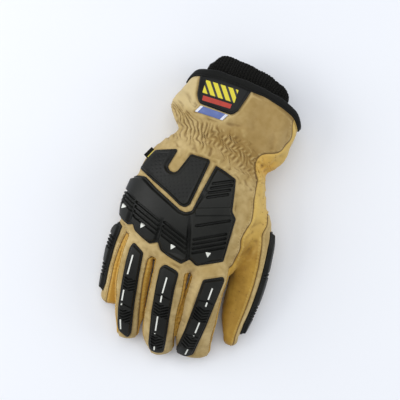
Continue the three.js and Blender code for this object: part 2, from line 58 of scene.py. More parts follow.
SKIN_PITCH = 0.95  # between the skin's points
SKIN_SMOOTHINGS = 10
SKIN_WALL = 1.5
PANEL_SHARE = 0.55  # of a panel's triangles, most of them kept where it is folded
CLOTH_PITCH = 3.6  # between the points of the cloth run's copy of the skin
CLOTH_STEPS = 16
CLOTH_LIMIT = 1.3  # the most that a buckle stands out
MOST = 20.0  # a seam's field is cut off this far from it
GATHER_PITCH = 3.9  # of the elastic's small folds along it
GATHER_ROW = 4.9  # between the zigzag rows of gathers
GATHER_HEIGHT = 0.8
FOLD_PITCH = 10.5  # of the broader folds that run out of the gathers
FOLD_HEIGHT = 0.5
PLEAT_HEIGHT = 1.5  # of the pleats round the pinch on the thumb's side
BEND_PITCH = 5.2  # of the small creases at the joints
RING_SIDE = 3.2  # how much fuller the ring finger's right side is
SEAM_DEPTH = 0.7
SEAM_RIDGE = 0.3  # beside a seam
PUCKER_PITCH = 3.1  # of the ridge's puckers
CALM_SPOT = ((42, 52), 16)  # place and size of where the shell hardly buckles
LIT_LEATHER_SPOT = ((46, 58), 18)  # where the leather keeps its painted warm light and the painted shade in its creases is weaker
GUARD_FLANGE = 1.4  # height of a guard's sewn edge
KNUCKLE_TOP, METACARPAL_TOP, FINGER_TOP, STRIP_TOP = 4.3, 3.9, 4.1, 4.0  # the guards' heights
PIT_PITCH = 5.2  # of the small pits in the metacarpal guard
FINGER_RIB_PITCH = 2.9
STRIP_RIB_PITCH = 3.6
GUARD_FLOOR = 0.7  # the least that a guard keeps below its grooves
GUARD_SHARES = (0.55, 0.3)  # of a guard's triangles, when it is refined once and twice
GUARD_SINK = 0.5  # of a guard's underside below the skin
GROOVE_WIDTH = 2.4
GROOVE_DEPTH = 2.3
INLAY_SINK = 0.4
BACK_STITCH_GAP = 2.3  # from the seams to the stitches on the back's canvas
SIDE_STITCH_GAP = 2.1  # and to those beside the fingers' side strips
FLANGE_STITCH_GAP = 0.95  # from a guard's edge
SIDE_TAG_SIZE = np.array([0.0068, 0.0108, 0.0014])  # in metres, as are the next lines' lengths
SIDE_TAG_SHIFT = np.array([0.0014, -0.0010, 0])  # of what shows of it from its box's middle
SIDE_TAG_TURN = math.radians(-25)
PHOTO_TURN = math.radians(20)  # between the photograph's upright and the glove's length
CAMERA_PLACE = (-0.00865, 0.01001, 1.4)
# Softboxes: name, watts, size, and the metres to the photograph's right, up it and over the
# floor
SOFTBOXES = (
    ("left_softbox", 7.2, 0.9, -1.0, 0.25, 0.75), ("right_softbox", 5, 0.9, 1.1, 0.1, 0.7),
)

# The hand's sections from the cuff's rim to the web of the fingers: left edge, right edge,
# height, half thickness, superellipse power, how far the edges drop and how far the back's
# middle runs towards the cuff
HAND = np.array([
    [-55.5, 114.0, 60.9, 104.9, 29.3, 27.5, 2.4, 0, 15.9],
    [-63.0, 85.0, 59.2, 84.0, 30.5, 32.0, 2.5, 0, 11],
    [-57.0, 71.5, 57.6, 65.8, 30.5, 32.0, 2.5, 0, 6],
    [-50.1, 61.0, 45.2, 51.0, 33.0, 26.0, 2.4, 0, 2],
    [-59.8, 46.2, 48.9, 38.9, 35.5, 28.5, 2.3, 1, 0],
    [-68.7, 27.5, 55.5, 22.0, 37.5, 30.0, 2.2, 3, 0],
    [-72.8, 3.0, 60.0, 2.0, 40.5, 28.5, 2.2, 5, 0],
    [-73.6, -24.0, 56.0, -25.0, 42.5, 25.0, 2.2, 6, 0],
    [-67.0, -44.0, 50.0, -45.0, 42.5, 20.5, 2.2, 6, 0],
    [-60.0, -55.0, 44.0, -56.0, 43.0, 15.5, 2.2, 5, 0],
])
HAND_END = (9.0, 2.2)  # length and superellipse power of the rounded end
RIM_FALLS = ((2.2, 2.6), (30.0, 8.0))  # how square the rim's left and right corners are
RIM_PALM_SHARE = 0.15  # of the bulge, on the palm's side

# The knit wrist's sections from its mouth inwards, with the same columns
KNIT = np.array([
    [-40.8, 133.4, 42, 121, 28, 20.5, 2.3, 0, 15.3], [-45, 100, 45, 98, 30, 21.5, 2.3, 0, 8],
    [-48, 78, 46, 74, 32, 22.5, 2.3, 0, 4], [-46.6, 62.5, 41.5, 53, 33, 22.5, 2.4, 0, 2],
])
KNIT_FALLS = ((3.4, 2.6), (12.0, 9.0))
KNIT_RIBS = 74
RIB_POINTS = 8  # across each rib
RIB_HEIGHT = 0.5
KNIT_WALL = 3.4
KNIT_STEP = 26.0  # about the millimetres from one of its sections to the next

# The binding's cross-section, out of the rim and back: its place in the hand's table, how far
# it stands off the skin there and how far ahead of the rim
TAPE_PROFILE = (
    (0.25, -0.3, 0), (0.25, 0.7, 0), (0.235, 1.25, 0), (0.21, 1.4, 0), (0.19, 0.95, 0),
    (0.17, 1.35, 0), (0.14, 1.75, 0), (0.1, 1.95, 0), (0.06, 2.0, 0), (0.03, 1.95, 0),
    (0, 1.8, -0.4), (0, 1.4, -1.4), (0, 0.6, -2.2), (0, -0.6, -2.5), (0, -1.9, -2.2),
    (0, -2.8, -1.4), (0, -3.2, -0.4), (0.04, -3.3, 0), (0.1, -3.3, 0), (0.16, -3.0, 0),
    (0.21, -2.6, 0), (0.22, -1.7, 0),
)

# Fingers and thumb: centre x, y, z, half the width, half the thickness and roll of the back,
# then the tip's length and power and the angles between which a side strip lies
LIMBS = {
    "index": {
        "rows": [
            [25.5, -34.0, 44.0, 16.0, 12.5, 6], [27.6, -58.7, 45.5, 17.4, 14.0, 8],
            [30.2, -89.2, 38.0, 18.0, 14.0, 8], [33.0, -116.5, 25.5, 18.0, 13.0, 6],
            [36.8, -132.0, 12.4, 16.4, 12.0, 4],
        ],
        "tip": (10.0, 2.6), "left": (166, 205), "right": (28, 28),
    },
    "middle": {
        "rows": [
            [-11.0, -36.0, 46.5, 16.0, 12.5, -6], [-9.4, -65.9, 47.5, 16.8, 14.0, -7],
            [-4.9, -97.9, 38.0, 16.8, 14.0, -6], [-0.3, -128.4, 23.5, 16.4, 13.0, -3],
            [5.9, -140.8, 12.2, 12.9, 11.8, 0],
        ],
        "tip": (10.0, 2.6), "left": (160, 210), "right": (26, -30),
    },
    "ring": {
        "rows": [
            [-45.0, -36.0, 42.0, 14.5, 12.0, -10], [-45.2, -60.8, 43.5, 15.0, 13.2, -10],
            [-42.8, -88.1, 38.0, 15.2, 13.2, -10], [-36.0, -116.0, 25.5, 13.5, 12.8, -9],
            [-29.3, -136.3, 12.0, 11.3, 11.4, -8],
        ],
        "tip": (10.0, 2.6), "left": (145, 215), "right": (35, -35),
    },
    "little": {
        "rows": [
            [-58.5, -32.0, 35.0, 12.5, 11.5, -40], [-63.0, -53.0, 26.5, 13.4, 11.2, -60],
            [-61.6, -78.0, 18.0, 13.4, 10.8, -72], [-58.6, -99.0, 13.8, 12.8, 10.4, -75],
            [-57.0, -112.0, 11.6, 11.6, 9.6, -75],
        ],
        "tip": (9.0, 2.5), "left": (205, 205), "right": (35, -35),
    },
    "thumb": {
        "rows": [
            [36.0, 14.0, 36.0, 14.0, 17.0, 78], [47.0, 3.0, 33.0, 16.0, 18.0, 80],
            [55.0, -11.0, 29.8, 16.4, 18.2, 82], [60.3, -30.0, 26.0, 15.5, 16.8, 83],
            [64.2, -55.0, 20.5, 14.6, 16.0, 84], [65.0, -80.0, 16.0, 14.2, 15.2, 84],
            [67.0, -99.0, 12.6, 12.6, 11.6, 83], [69.0, -109.4, 11.0, 10.8, 8.0, 82],
        ],
        "tip": (10.0, 2.3), "left": (128, 128), "right": (40, 40),
    },
}

# The golden side strips between the fingers: the finger on whose right side each lies, the
# one on whose left side it lies, and x, height and half the size of the web between them
FORKS = {
    "fourchette_index_middle": ("middle", "index", 9.0, 41.0, 2.6),
    "fourchette_middle_ring": ("ring", "middle", -28.0, 44.0, 7.0),
    "fourchette_ring_little": ("little", "ring", -56.0, 36.0, 7.0),
}
LITTLE_SIDE_SEAM = 200  # angle of the seam on the little finger's side
LITTLE_SIDE_REACH = 28  # about how far that side is from the hand's middle

# The seam between the back and the palm leather, seen from above, on the thumb's side
THUMB_SIDE_SEAM = np.array([
    [53.5, 112.0], [52.5, 103.8], [55.5, 93.2], [53.6, 84.0], [48.8, 73.7], [35.3, 66.6],
    [31.8, 59.1], [33.5, 50.2], [39.1, 41.8], [41.4, 32.2], [42.9, 23.1], [46.9, 6.0],
    [45.9, -4.4], [43.5, -15.8], [46.2, -26.8], [45.6, -42.0], [44.6, -56.0],
])

# Outlines seen from above of the pieces that lie on the back
KNUCKLE_OUTLINE = [
    [-84, -2], [-70.9, 6.9], [-62.9, 8.6], [-49.8, 1.9], [-20.8, -10.1], [-15.1, -10.5],
    [-10.0, -7.1], [-7.1, 16.1], [-3.1, 41.2], [7.6, 38.9], [19.2, 35.4], [22.1, 24.6],
    [26.4, 5.5], [32.2, -0.2], [32.7, -9.9], [35, -42.9], [24.1, -48.9], [11.9, -55.4],
    [3.8, -51.5], [-2.5, -58.6], [-16.8, -55.9], [-25.3, -52.8], [-30.2, -46.2],
    [-37.6, -50.6], [-47.2, -47.4], [-54.8, -44], [-58.9, -38.2], [-63, -40.8],
    [-71.2, -38.1], [-84, -30],
]
METACARPAL_OUTLINE = [
    [-62.7, 35.8], [-43.7, 43.5], [-42.6, 41.9], [-46, 24.6], [-42.8, 21.6], [-38.1, 21.4],
    [-35.5, 24.2], [-29.2, 43.5], [-11, 44.5], [-9.4, 42], [-11.4, 19.5], [-13.5, -2.2],
    [-17.3, -6.3], [-22.0, -6.3], [-38.0, 0.9], [-54.7, 7.2], [-70.6, 14.0], [-68.4, 23.9],
]
INDEX_OUTLINE = [
    [22.7, -65.4], [40, -56.3], [42.2, -60], [41.5, -82.5], [41, -109.9], [39.2, -139.9],
    [33.3, -144.4], [23.8, -143.6], [22, -139.8], [23.1, -118.7], [23.1, -92.5],
]
MIDDLE_OUTLINE = [
    [-16.5, -63.8], [-3.8, -65.9], [-1.3, -68.2], [0, -83.7], [4.9, -112], [9.8, -138.2],
    [11.1, -148], [4.4, -150.4], [-2.2, -149.7], [-5.5, -144.2], [-13, -113.3],
    [-17.8, -86], [-19.8, -68.8],
]
RING_OUTLINE = [
    [-51.8, -54.4], [-40.1, -60.6], [-39.5, -63.6], [-36.3, -84.7], [-31.8, -110.1],
    [-25.1, -141.1], [-27, -146.4], [-36.5, -143], [-39.7, -138.7], [-45.1, -120.4],
    [-50, -94.9], [-53.1, -72.8], [-53.8, -60.4],
]
LABEL_OUTLINE = [
    [-48.2, 126], [-42.9, 98.4], [-38.6, 91.9], [-5.6, 91.6], [-1.2, 96.8], [6.2, 127],
]
TAG_OUTLINE = [[-36.4, 90.4], [-8.7, 90.6], [-12.1, 84], [-39.8, 83.4]]

# Grooves across the knuckle guard: middle of the first, direction, length, how many there are
# in all and the step from one to the next
GROOVES = [
    [-68.4, -13.0, -25, 10.4, 4, 0.2, -3.6], [-48.0, -21.5, -19, 27, 4, 0.5, -4.2],
    [-17.2, -29.8, -18, 27, 4, 0.6, -4.0], [8.5, 28.0, 28, 19, 4, -0.2, -4.6],
    [12.4, -11.2, 29, 31, 1, 0, 0], [14.0, -24.0, 30, 30, 4, 1.0, -4.1],
]
# Single creases in the leather and canvas seen from above: start, end, depth, half width
CREASES = [
    ([-15.0, 80.6], [16.0, 87.0], 0.9, 2.7), ([-58.0, 103.0], [-41.5, 84.5], 1.3, 4.2),
    ([-6.0, 73.0], [24.0, 72.0], 0.5, 3.6), ([-30.0, 55.0], [-20.5, 40.0], 0.8, 2.2),
    ([-14.0, 58.0], [-8.0, 34.0], 0.8, 2.2), ([40.0, 36.0], [57.0, 14.0], 0.7, 2.6),
    ([44.0, -8.0], [60.0, 8.0], 1.1, 2.4), ([46.5, -18.0], [55.0, -2.0], 0.8, 1.8),
    ([44.0, 22.0], [50.0, 4.0], 0.6, 1.7), ([49.0, 100.0], [56.0, 72.0], 0.6, 2.6),
    ([48.6, -37.0], [58.0, -17.0], 1.5, 2.8), ([41.5, 55.5], [56.0, 69.5], 1.2, 2.4),
]
# Creases across the limbs: how far along each they lie and how deep they are
BENDS = {
    "index": ((40, 74), 0.3), "middle": ((42, 78), 0.3), "ring": ((38, 70), 0.3),
    "little": ((30, 56), 0.3), "thumb": ((60, 88), 0.14),
}
# The elastic in the wrist seen from above, the middle of the painted shade on the canvas
# round it, and where the thumb's side is pinched
ELASTIC = [[-60.0, 72.5], [-49.6, 68.8], [-10.0, 64.5], [32.0, 53.0]]
SHADE_BAND = [[-60.0, 74.0], [-10.0, 70.0], [34.0, 58.0]]
PINCH = np.array([29.5, 57.5])
# Valleys between the knuckle guard's lobes: start, end, depth, width
VALLEYS = [
    ([-63.4, -13.0], [-61.4, -42.0], 2.6, 3.2), ([-32.6, -22.0], [-31.4, -48.0], 2.6, 3.2),
    ([-12.0, -6.0], [2.8, -54.0], 2.8, 3.0), ([-9.4, -5.0], [-3.0, 14.0], 1.6, 2.4),
]
KNUCKLE_BAND = [[-8.4, -3.6], [25.6, 9.7], [28.2, 2.5], [-4.9, -10.2]]  # raised across it
# White marks on the knuckle guard: x, y, which way each triangle points, size
TRIANGLES = (
    (-73.8, -25.9, -118, 4.3), (-49.9, -36.9, -104, 4.3), (-15.8, -46.1, -100, 4.3),
    (18.8, -41.3, -78, 4.3),
)
LABEL_HATCH = [[-39.9, 115.6], [-7.4, 116.6], [-7.0, 103.6], [-39.3, 102.8]]
LABEL_BAR = [[-37.6, 100.4], [-8.8, 101.4], [-9.0, 96.9], [-36.9, 95.6]]
TAG_ENDS = [
    [[-36.4, 90.4], [-33.9, 90.5], [-37.2, 83.5], [-39.8, 83.4]],
    [[-11.4, 90.6], [-8.7, 90.6], [-12.1, 84], [-14.8, 83.9]],
]


def rounded(outline, radius=1.6, steps=4):
    """An outline with each corner replaced by a short curve that starts radius from it."""
    outline = np.asarray(outline, float)
    points = []
    for before, corner, after in zip(np.roll(outline, 1, 0), outline, np.roll(outline, -1, 0)):
        starts = []
        for other in (before, after):
            length = np.linalg.norm(other - corner)
            starts.append(corner + (other - corner) * min(radius / length, 0.45))
        for f in np.linspace(0, 1, steps):
            points.append((1 - f) ** 2 * starts[0] + 2 * f * (1 - f) * corner + f * f * starts[1])
    return np.array(points)


KNUCKLE_OUTLINE = rounded(KNUCKLE_OUTLINE)
METACARPAL_OUTLINE = rounded(METACARPAL_OUTLINE)
INDEX_OUTLINE = rounded(INDEX_OUTLINE, 2.2)
MIDDLE_OUTLINE = rounded(MIDDLE_OUTLINE, 2.2)
RING_OUTLINE = rounded(RING_OUTLINE, 2.2)
LABEL_OUTLINE = rounded(LABEL_OUTLINE, 3.2)

# Guards on limbs that lie on their sides: start and end along the limb, half the width at
# five places, where the ribs are and the angle of the guard's middle
STRIP_GUARDS = {
    "little": {"start": 12, "end": 82, "half": [3.0, 5.8, 6.8, 5.8, 2.6],
               "ribs": [(23, 38), (52, 66)], "middle": 92},
    "thumb": {"start": 28, "end": 131, "half": [2.4, 5.6, 7.0, 6.0, 2.6],
              "ribs": [(62, 69), (96, 112)], "middle": 99},
}
# Guards on the other fingers: the middle line, between which y the chevron ribs lie, the y of
# single cuts and the white dashes
FINGER_GUARDS = {
    "index_guard": {
        "outline": INDEX_OUTLINE, "path": [[32.5, -58], [33.4, -92], [33.0, -118], [30.5, -146]],
        "joints": [(-90.5, -103.5), (-121.5, -133.0)], "cuts": [-83.2, -119.0],
        "dashes": [((33.9, -70.2), (33.9, -81.9)), ((33.9, -84.9), (33.9, -89.1)),
                   ((33.8, -106.0), (33.5, -117.3)), ((33.3, -120.2), (33.2, -121.2)),
                   ((32.6, -136.1), (32.0, -142.2))],
    },
    "middle_guard": {
        "outline": MIDDLE_OUTLINE, "path": [[-9.5, -62], [-8.6, -92], [-4.5, -118], [2.5, -152]],
        "joints": [(-100.8, -112.5), (-132.8, -143.6)], "cuts": [-92.0, -130.2],
        "dashes": [((-10.6, -75.1), (-9.5, -90.9)), ((-9.3, -93.4), (-8.2, -99.9)),
                   ((-6.1, -114.3), (-3.4, -128.6)), ((-3.2, -131.2), (-2.9, -132.3)),
                   ((0.8, -144.6), (1.8, -148.2))],
    },
    "ring_guard": {
        "outline": RING_OUTLINE, "path": [[-46, -57], [-44.6, -88], [-40.4, -116], [-31, -147]],
        "joints": [(-87.5, -99.0), (-118.0, -130.2)], "cuts": [-113.2],
        "dashes": [((-48.6, -66.2), (-47.2, -85.4)), ((-45.6, -101.2), (-44.0, -111.9)),
                   ((-43.4, -114.6), (-42.9, -116.4)), ((-39.4, -130.8), (-36.0, -140.2))],
    },
}


def to_metres(points):
    return (np.asarray(points, float) - CENTRE) / 1000.0


def sample(rows, places):
    """Catmull-Rom values of a table's columns at places between its rows."""
    rows = np.asarray(rows, float)
    places = np.atleast_1d(np.asarray(places, float))
    last = len(rows) - 1
    i = np.clip(np.floor(places).astype(int), 0, last - 1)
    f = (places - i)[:, None]
    p, q, r, s = (rows[np.clip(i + k, 0, last)] for k in (-1, 0, 1, 2))
    return q + 0.5 * f * (r - p + f * (2 * p - 5 * q + 4 * r - s + f * (3 * (q - r) + s - p)))


def through(rows, count):
    """Even places from a table's first row to its last."""
    return np.linspace(0, len(rows) - 1, count)


THUMB_SIDE_SEAM = sample(THUMB_SIDE_SEAM, through(THUMB_SIDE_SEAM, 65))


def unit(vectors):
    return vectors / np.maximum(np.linalg.norm(vectors, axis=-1, keepdims=True), 1e-9)


def hand_sections(rows, places):
    values = sample(rows, places)
    left, right = values[:, [0, 1, 4]], values[:, [2, 3, 4]]
    u = unit(right - left)
    v = np.tile([0.0, 0.0, 1.0], (len(values), 1))
    return {
        "centre": (left + right) / 2, "u": u, "v": v, "t": np.cross(u, v),
        "w": np.linalg.norm(right - left, axis=1) / 2, "h": values[:, 5],
        "power": values[:, 6], "arch": values[:, 7], "bulge": values[:, 8],
        "shrink": np.ones(len(values)), "ahead": np.zeros(len(values)),
    }


def limb_sections(rows, places):
    values = sample(rows, places)
    last = len(rows) - 1
    step = 0.02
    after = sample(rows, np.minimum(np.asarray(places) + step, last))
    before = sample(rows, np.maximum(np.asarray(places) - step, 0))
    t = unit(after[:, :3] - before[:, :3])
    up = np.array([0.0, 0.0, 1.0])
    v = unit(up - t * (t @ up)[:, None])
    roll = -np.radians(values[:, 5])[:, None]
    v = v * np.cos(roll) + np.cross(t, v) * np.sin(roll)
    count = len(values)
    return {
        "centre": values[:, :3], "u": np.cross(v, t), "v": v, "t": t, "w": values[:, 3],
        "h": values[:, 4], "power": np.full(count, 2.3), "arch": np.zeros(count),
        "bulge": np.zeros(count), "shrink": np.ones(count), "ahead": np.zeros(count),
    }


def with_end(sections, length, power, count=8):
    """The sections with a rounded end: copies of the last one that shrink along an arc."""
    shares = np.sin(np.linspace(0, math.pi / 2, count + 1))[1:]
    grown = {}
    for key, value in sections.items():
        extra = np.repeat(value[-1:], count, axis=0)
        if key == "shrink":
            extra = (1 - shares ** power) ** (1 / power)
        if key == "ahead":
            extra = shares * length
        grown[key] = np.concatenate([value, extra])
    return grown


def rim_share(across, falls):
    """How far a rim stands out at places across it, as a share of its middle."""
    drops = [np.abs(across) ** np.where(across < 0, *pair) for pair in falls]
    return 1 - np.mean(drops, axis=0)


def surface(sections, degrees, grow=0.0, falls=RIM_FALLS):
    """Points of the sections' outlines at the angles, as sections by angles by three."""
    c, s = np.cos(np.radians(degrees)), np.sin(np.radians(degrees))
    column = {k: v[:, None] for k, v in sections.items() if v.ndim == 1}
    e = 2 / column["power"]
    across = np.sign(c) * np.abs(c) ** e
    over = np.sign(s) * np.abs(s) ** e
    x = (column["w"] * column["shrink"] + grow) * across
    z = (column["h"] * column["shrink"] + grow) * over - column["arch"] * across ** 2
    share = np.where(s > 0, 1, RIM_PALM_SHARE)
    back = column["bulge"] * share * rim_share(across, falls)
    along = column["ahead"] - back
    frame_of = {k: v[:, None, :] for k, v in sections.items() if v.ndim == 2}
    return (
        frame_of["centre"] + frame_of["u"] * x[..., None] + frame_of["v"] * z[..., None]
        + frame_of["t"] * along[..., None]
    )


def tube_mesh(grid):
    """Vertices and quads of rings of points, each end closed by a fan."""
    rings, count = grid.shape[:2]
    verts = np.concatenate([grid.reshape(-1, 3), grid[0].mean(0)[None], grid[-1].mean(0)[None]])
    faces = []
    for k in range(rings - 1):
        for i in range(count):
            j = (i + 1) % count
            faces.append((k * count + i, (k + 1) * count + i, (k + 1) * count + j, k * count + j))
    first, end = rings * count, (rings - 1) * count
    for i in range(count):
        j = (i + 1) % count
        faces.append((first, i, j))
        faces.append((first + 1, end + j, end + i))
    return verts, faces


def select_only(*pieces):
    """Selects these pieces and nothing else, with the first as the active one."""
    bpy.ops.object.select_all(action="DESELECT")
    for piece in pieces:
        piece.select_set(True)
    bpy.context.view_layer.objects.active = pieces[0]


def in_scene(name, data, location=(0, 0, 0), turn=(0, 0, 0)):
    """An object in the scene with this mesh, light or camera."""
    thing = bpy.data.objects.new(name, data)
    thing.location, thing.rotation_euler = location, turn
    bpy.context.scene.collection.objects.link(thing)
    return thing


def add_mesh(name, verts, faces):
    mesh = bpy.data.meshes.new(name)
    mesh.from_pydata(np.asarray(verts).tolist(), [], [tuple(f) for f in faces])
    mesh.update()
    return in_scene(name, mesh)


def apply_modifier(piece, kind, **settings):
    select_only(piece)
    modifier = piece.modifiers.new(kind.title(), kind)
    for key, value in settings.items():
        setattr(modifier, key, value)
    bpy.ops.object.modifier_apply(modifier=modifier.name)


def triangles_of(piece):
    """A mesh object's vertices in the tables' millimetres and its triangles, as arrays."""
    mesh = piece.data
    verts = np.empty(len(mesh.vertices) * 3, np.float32)
    mesh.vertices.foreach_get("co", verts)
    mesh.calc_loop_triangles()
    tris = np.empty(len(mesh.loop_triangles) * 3, np.int32)
    mesh.loop_triangles.foreach_get("vertices", tris)
    return verts.reshape(-1, 3).astype(float), tris.reshape(-1, 3).astype(int)


def vertex_normals(verts, tris):
    a, b, c = (verts[tris[:, k]] for k in range(3))
    face = np.cross(b - a, c - a)
    normals = np.zeros_like(verts)
    for k in range(3):
        for axis in range(3):
            normals[:, axis] += np.bincount(tris[:, k], face[:, axis], len(verts))
    return unit(normals)


def noise(points, wavelength, seed, waves=14):
    """Smooth noise of about unit size, from plane waves of nearly one wavelength."""
    rng = np.random.default_rng(seed)
    directions = unit(rng.normal(size=(waves, points.shape[1])))
    lengths = wavelength * rng.uniform(0.75, 1.4, waves)
    phases = rng.uniform(0, 2 * math.pi, waves)
    total = np.zeros(len(points))
    for direction, length, phase in zip(directions, lengths, phases):
        total += np.sin(points @ direction * (2 * math.pi / length) + phase)
    return total / math.sqrt(waves / 2)


def smoothstep(value, low, high):
    f = np.clip((value - low) / (high - low), 0, 1)
    return f * f * (3 - 2 * f)


def outline_distance(points, outline):
    """Signed distance from points to a closed outline in the plane, more than 0 inside."""
    outline = np.asarray(outline, float)
    best = np.full(len(points), 1e9)
    inside = np.zeros(len(points), bool)
    for (x0, y0), (x1, y1) in zip(outline, np.roll(outline, -1, axis=0)):
        dx, dy = x1 - x0, y1 - y0
        px, py = points[:, 0] - x0, points[:, 1] - y0
        f = np.clip((px * dx + py * dy) / (dx * dx + dy * dy), 0, 1)
        best = np.minimum(best, np.hypot(px - f * dx, py - f * dy))
        crosses = (y0 > points[:, 1]) != (y1 > points[:, 1])
        if dy:
            inside ^= crosses & (points[:, 0] < dx * (points[:, 1] - y0) / dy + x0)
    return np.where(inside, best, -best)


def over(outline):
    """The function that says how far inside an outline seen from above points lie."""
    return lambda points: outline_distance(points[:, :2], outline)


def line_place(points, start, end):
    """How far along a line each point lies, from 0 to 1, and how far from it."""
    start, end = np.asarray(start, float), np.asarray(end, float)
    d = end - start
    share = np.clip(((points - start) @ d) / (d @ d), 0, 1)
    return share, np.linalg.norm(points - start - share[:, None] * d, axis=1)


def path_distance(points, path):
    """Distance from points to an open path in the plane, less than 0 on its right side."""
    best = np.full(len(points), 1e9)
    side = np.ones(len(points))
    for start, end in zip(path[:-1], path[1:]):
        away = line_place(points, start, end)[1]
        (dx, dy), (x, y) = end - start, (points - start).T
        nearer = away < best
        best = np.where(nearer, away, best)
        side = np.where(nearer, np.where(dx * y - dy * x < 0, -1, 1), side)
    return best * side


def edges_of(tris):
    return np.concatenate([tris[:, [0, 1]], tris[:, [1, 2]], tris[:, [2, 0]]])


def used_only(verts, tris, values):
    """A triangle mesh and its values without the vertices that no triangle has."""
    used, inverse = np.unique(tris, return_inverse=True)
    return verts[used], inverse.reshape(-1, 3), [v[used] for v in values]


def split(verts, tris, field, values):
    """The part of a triangle mesh where field is above 0, cut along its 0 line, with the
    values, arrays that go with the vertices, cut likewise."""
    field = np.where(np.abs(field) < 1e-4, 1e-4, field)
    inside = field > 0
    count = inside[tris].sum(axis=1)
    kept = [tris[count == 3]]
    new_verts, new_values = [verts], [[v] for v in values]
    total = len(verts)
    keys = {}
    pairs = []

    def cut(a, b):
        key = (a, b) if a < b else (b, a)
        if key not in keys:
            keys[key] = total + len(pairs)
            pairs.append(key)
        return keys[key]

    extra = []
    for tri in tris[(count == 1) | (count == 2)]:
        flags = inside[tri]
        odd = int(np.argmax(flags)) if flags.sum() == 1 else int(np.argmin(flags))
        a, b, c = (int(tri[(odd + k) % 3]) for k in range(3))
        ab, ca = cut(a, b), cut(a, c)
        if flags.sum() == 1:
            extra.append((a, ab, ca))
        else:
            extra.append((ab, b, c))
            extra.append((ab, c, ca))
    if pairs:
        pairs = np.array(pairs)
        fa, fb = field[pairs[:, 0]], field[pairs[:, 1]]
        share = (fa / (fa - fb))[:, None]
        new_verts.append(verts[pairs[:, 0]] * (1 - share) + verts[pairs[:, 1]] * share)
        for held, value in zip(new_values, values):
            part = share if value.ndim > 1 else share[:, 0]
            held.append(value[pairs[:, 0]] * (1 - part) + value[pairs[:, 1]] * part)
        kept.append(np.array(extra, int))
    values = [np.concatenate(held) for held in new_values]
    return used_only(np.concatenate(new_verts), np.concatenate(kept), values)


def finer(verts, tris, values):
    """Each triangle cut into four at the middles of its edges."""
    edges = np.sort(edges_of(tris), axis=1)
    unique, inverse = np.unique(edges, axis=0, return_inverse=True)
    inverse = inverse.reshape(-1)
    count = len(tris)
    ab, bc, ca = (inverse[k * count:(k + 1) * count] + len(verts) for k in range(3))
    middles = (verts[unique[:, 0]] + verts[unique[:, 1]]) / 2
    a, b, c = tris.T
    tris = np.concatenate([
        np.stack(group, axis=1) for group in ((a, ab, ca), (ab, b, bc), (ca, bc, c), (ab, bc, ca))
    ])
    values = [np.concatenate([v, (v[unique[:, 0]] + v[unique[:, 1]]) / 2]) for v in values]
    return np.concatenate([verts, middles]), tris, values


def largest_part(verts, tris, values):
    """The connected part with the most triangles, so that no scrap is left loose."""
    label = np.arange(len(verts))
    while True:
        low = label[tris].min(axis=1)
        new = label.copy()
        for k in range(3):
            np.minimum.at(new, tris[:, k], low)
        new = new[new]
        if np.array_equal(new, label):
            break
        label = new
    counts = np.bincount(label[tris[:, 0]], minlength=len(verts))
    return used_only(verts, tris[label[tris[:, 0]] == int(np.argmax(counts))], values)


def thick(top, bottom, tris):
    """A closed body between two sheets that share their triangles."""
    count = len(top)
    edges = edges_of(tris)
    code = edges[:, 0].astype(np.int64) * (count + 1) + edges[:, 1]
    back = edges[:, 1].astype(np.int64) * (count + 1) + edges[:, 0]
    rim = edges[~np.isin(code, back)]
    a, b = rim.T
    walls = np.concatenate([
        np.stack([b, a, a + count], axis=1), np.stack([b, a + count, b + count], axis=1)
    ])
    faces = np.concatenate([tris, tris[:, ::-1] + count, walls])
    return np.concatenate([top, bottom]), faces


def joined(parts):
    """Several meshes, each with its vertices and triangles, as one."""
    starts = np.cumsum([0] + [len(verts) for verts, _ in parts])
    return (np.concatenate([verts for verts, _ in parts]),
            np.concatenate([tris + start for (_, tris), start in zip(parts, starts)]))


def make_piece(name, verts, tris, material, slot, nodes=(), shades=None, sharp=40, keep=1.0):
    """A finished piece from vertices in millimetres. shades are point attributes, and keep
    is the share of the triangles left where flat stretches are thinned."""
    mesh = bpy.data.meshes.new(name)
    verts = to_metres(verts)
    mesh.vertices.add(len(verts))
    mesh.vertices.foreach_set("co", verts.astype(np.float32).ravel())
    mesh.loops.add(len(tris) * 3)
    mesh.loops.foreach_set("vertex_index", np.asarray(tris, np.int32).ravel())
    mesh.polygons.add(len(tris))
    mesh.polygons.foreach_set("loop_start", np.arange(0, len(tris) * 3, 3, dtype=np.int32))
    mesh.update(calc_edges=True)
    mesh.validate()
    for key, value in (shades or {}).items():
        attribute = mesh.attributes.new(key, "FLOAT", "POINT")
        attribute.data.foreach_set("value", np.asarray(value, np.float32))
    piece = in_scene(name, mesh)
    if keep < 1:
        apply_modifier(piece, "DECIMATE", ratio=keep)
    select_only(piece)
    bpy.ops.object.shade_smooth_by_angle(angle=math.radians(sharp))
    piece.data.materials.append(material)
    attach(piece, "root")
    if nodes:
        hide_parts(*nodes)


def make_skin():
    """The closed skin of the whole glove: lofts joined by a voxel remesh, then smoothed."""
    angles = np.linspace(0, 360, 180, endpoint=False)
    sections = with_end(hand_sections(HAND, through(HAND, 90)), *HAND_END)
    grid = surface(sections, angles)
    mouth = grid[0] - sections["t"][0] * 14
    parts = [tube_mesh(np.concatenate([mouth[None], grid]))]
    for limb in LIMBS.values():
        sections = limb_sections(limb["rows"], through(limb["rows"], 60))
        sections = with_end(sections, *limb["tip"])
        parts.append(tube_mesh(surface(sections, np.linspace(0, 360, 64, endpoint=False))))
    pieces = [add_mesh("skin", verts, faces) for verts, faces in parts]
    select_only(*pieces)
    bpy.ops.object.join()
    skin = pieces[0]
    apply_modifier(skin, "REMESH", mode="VOXEL", voxel_size=SKIN_PITCH)
    apply_modifier(skin, "SMOOTH", factor=0.5, iterations=SKIN_SMOOTHINGS)
    verts, tris = triangles_of(skin)
    bpy.data.objects.remove(skin)
    return verts, tris


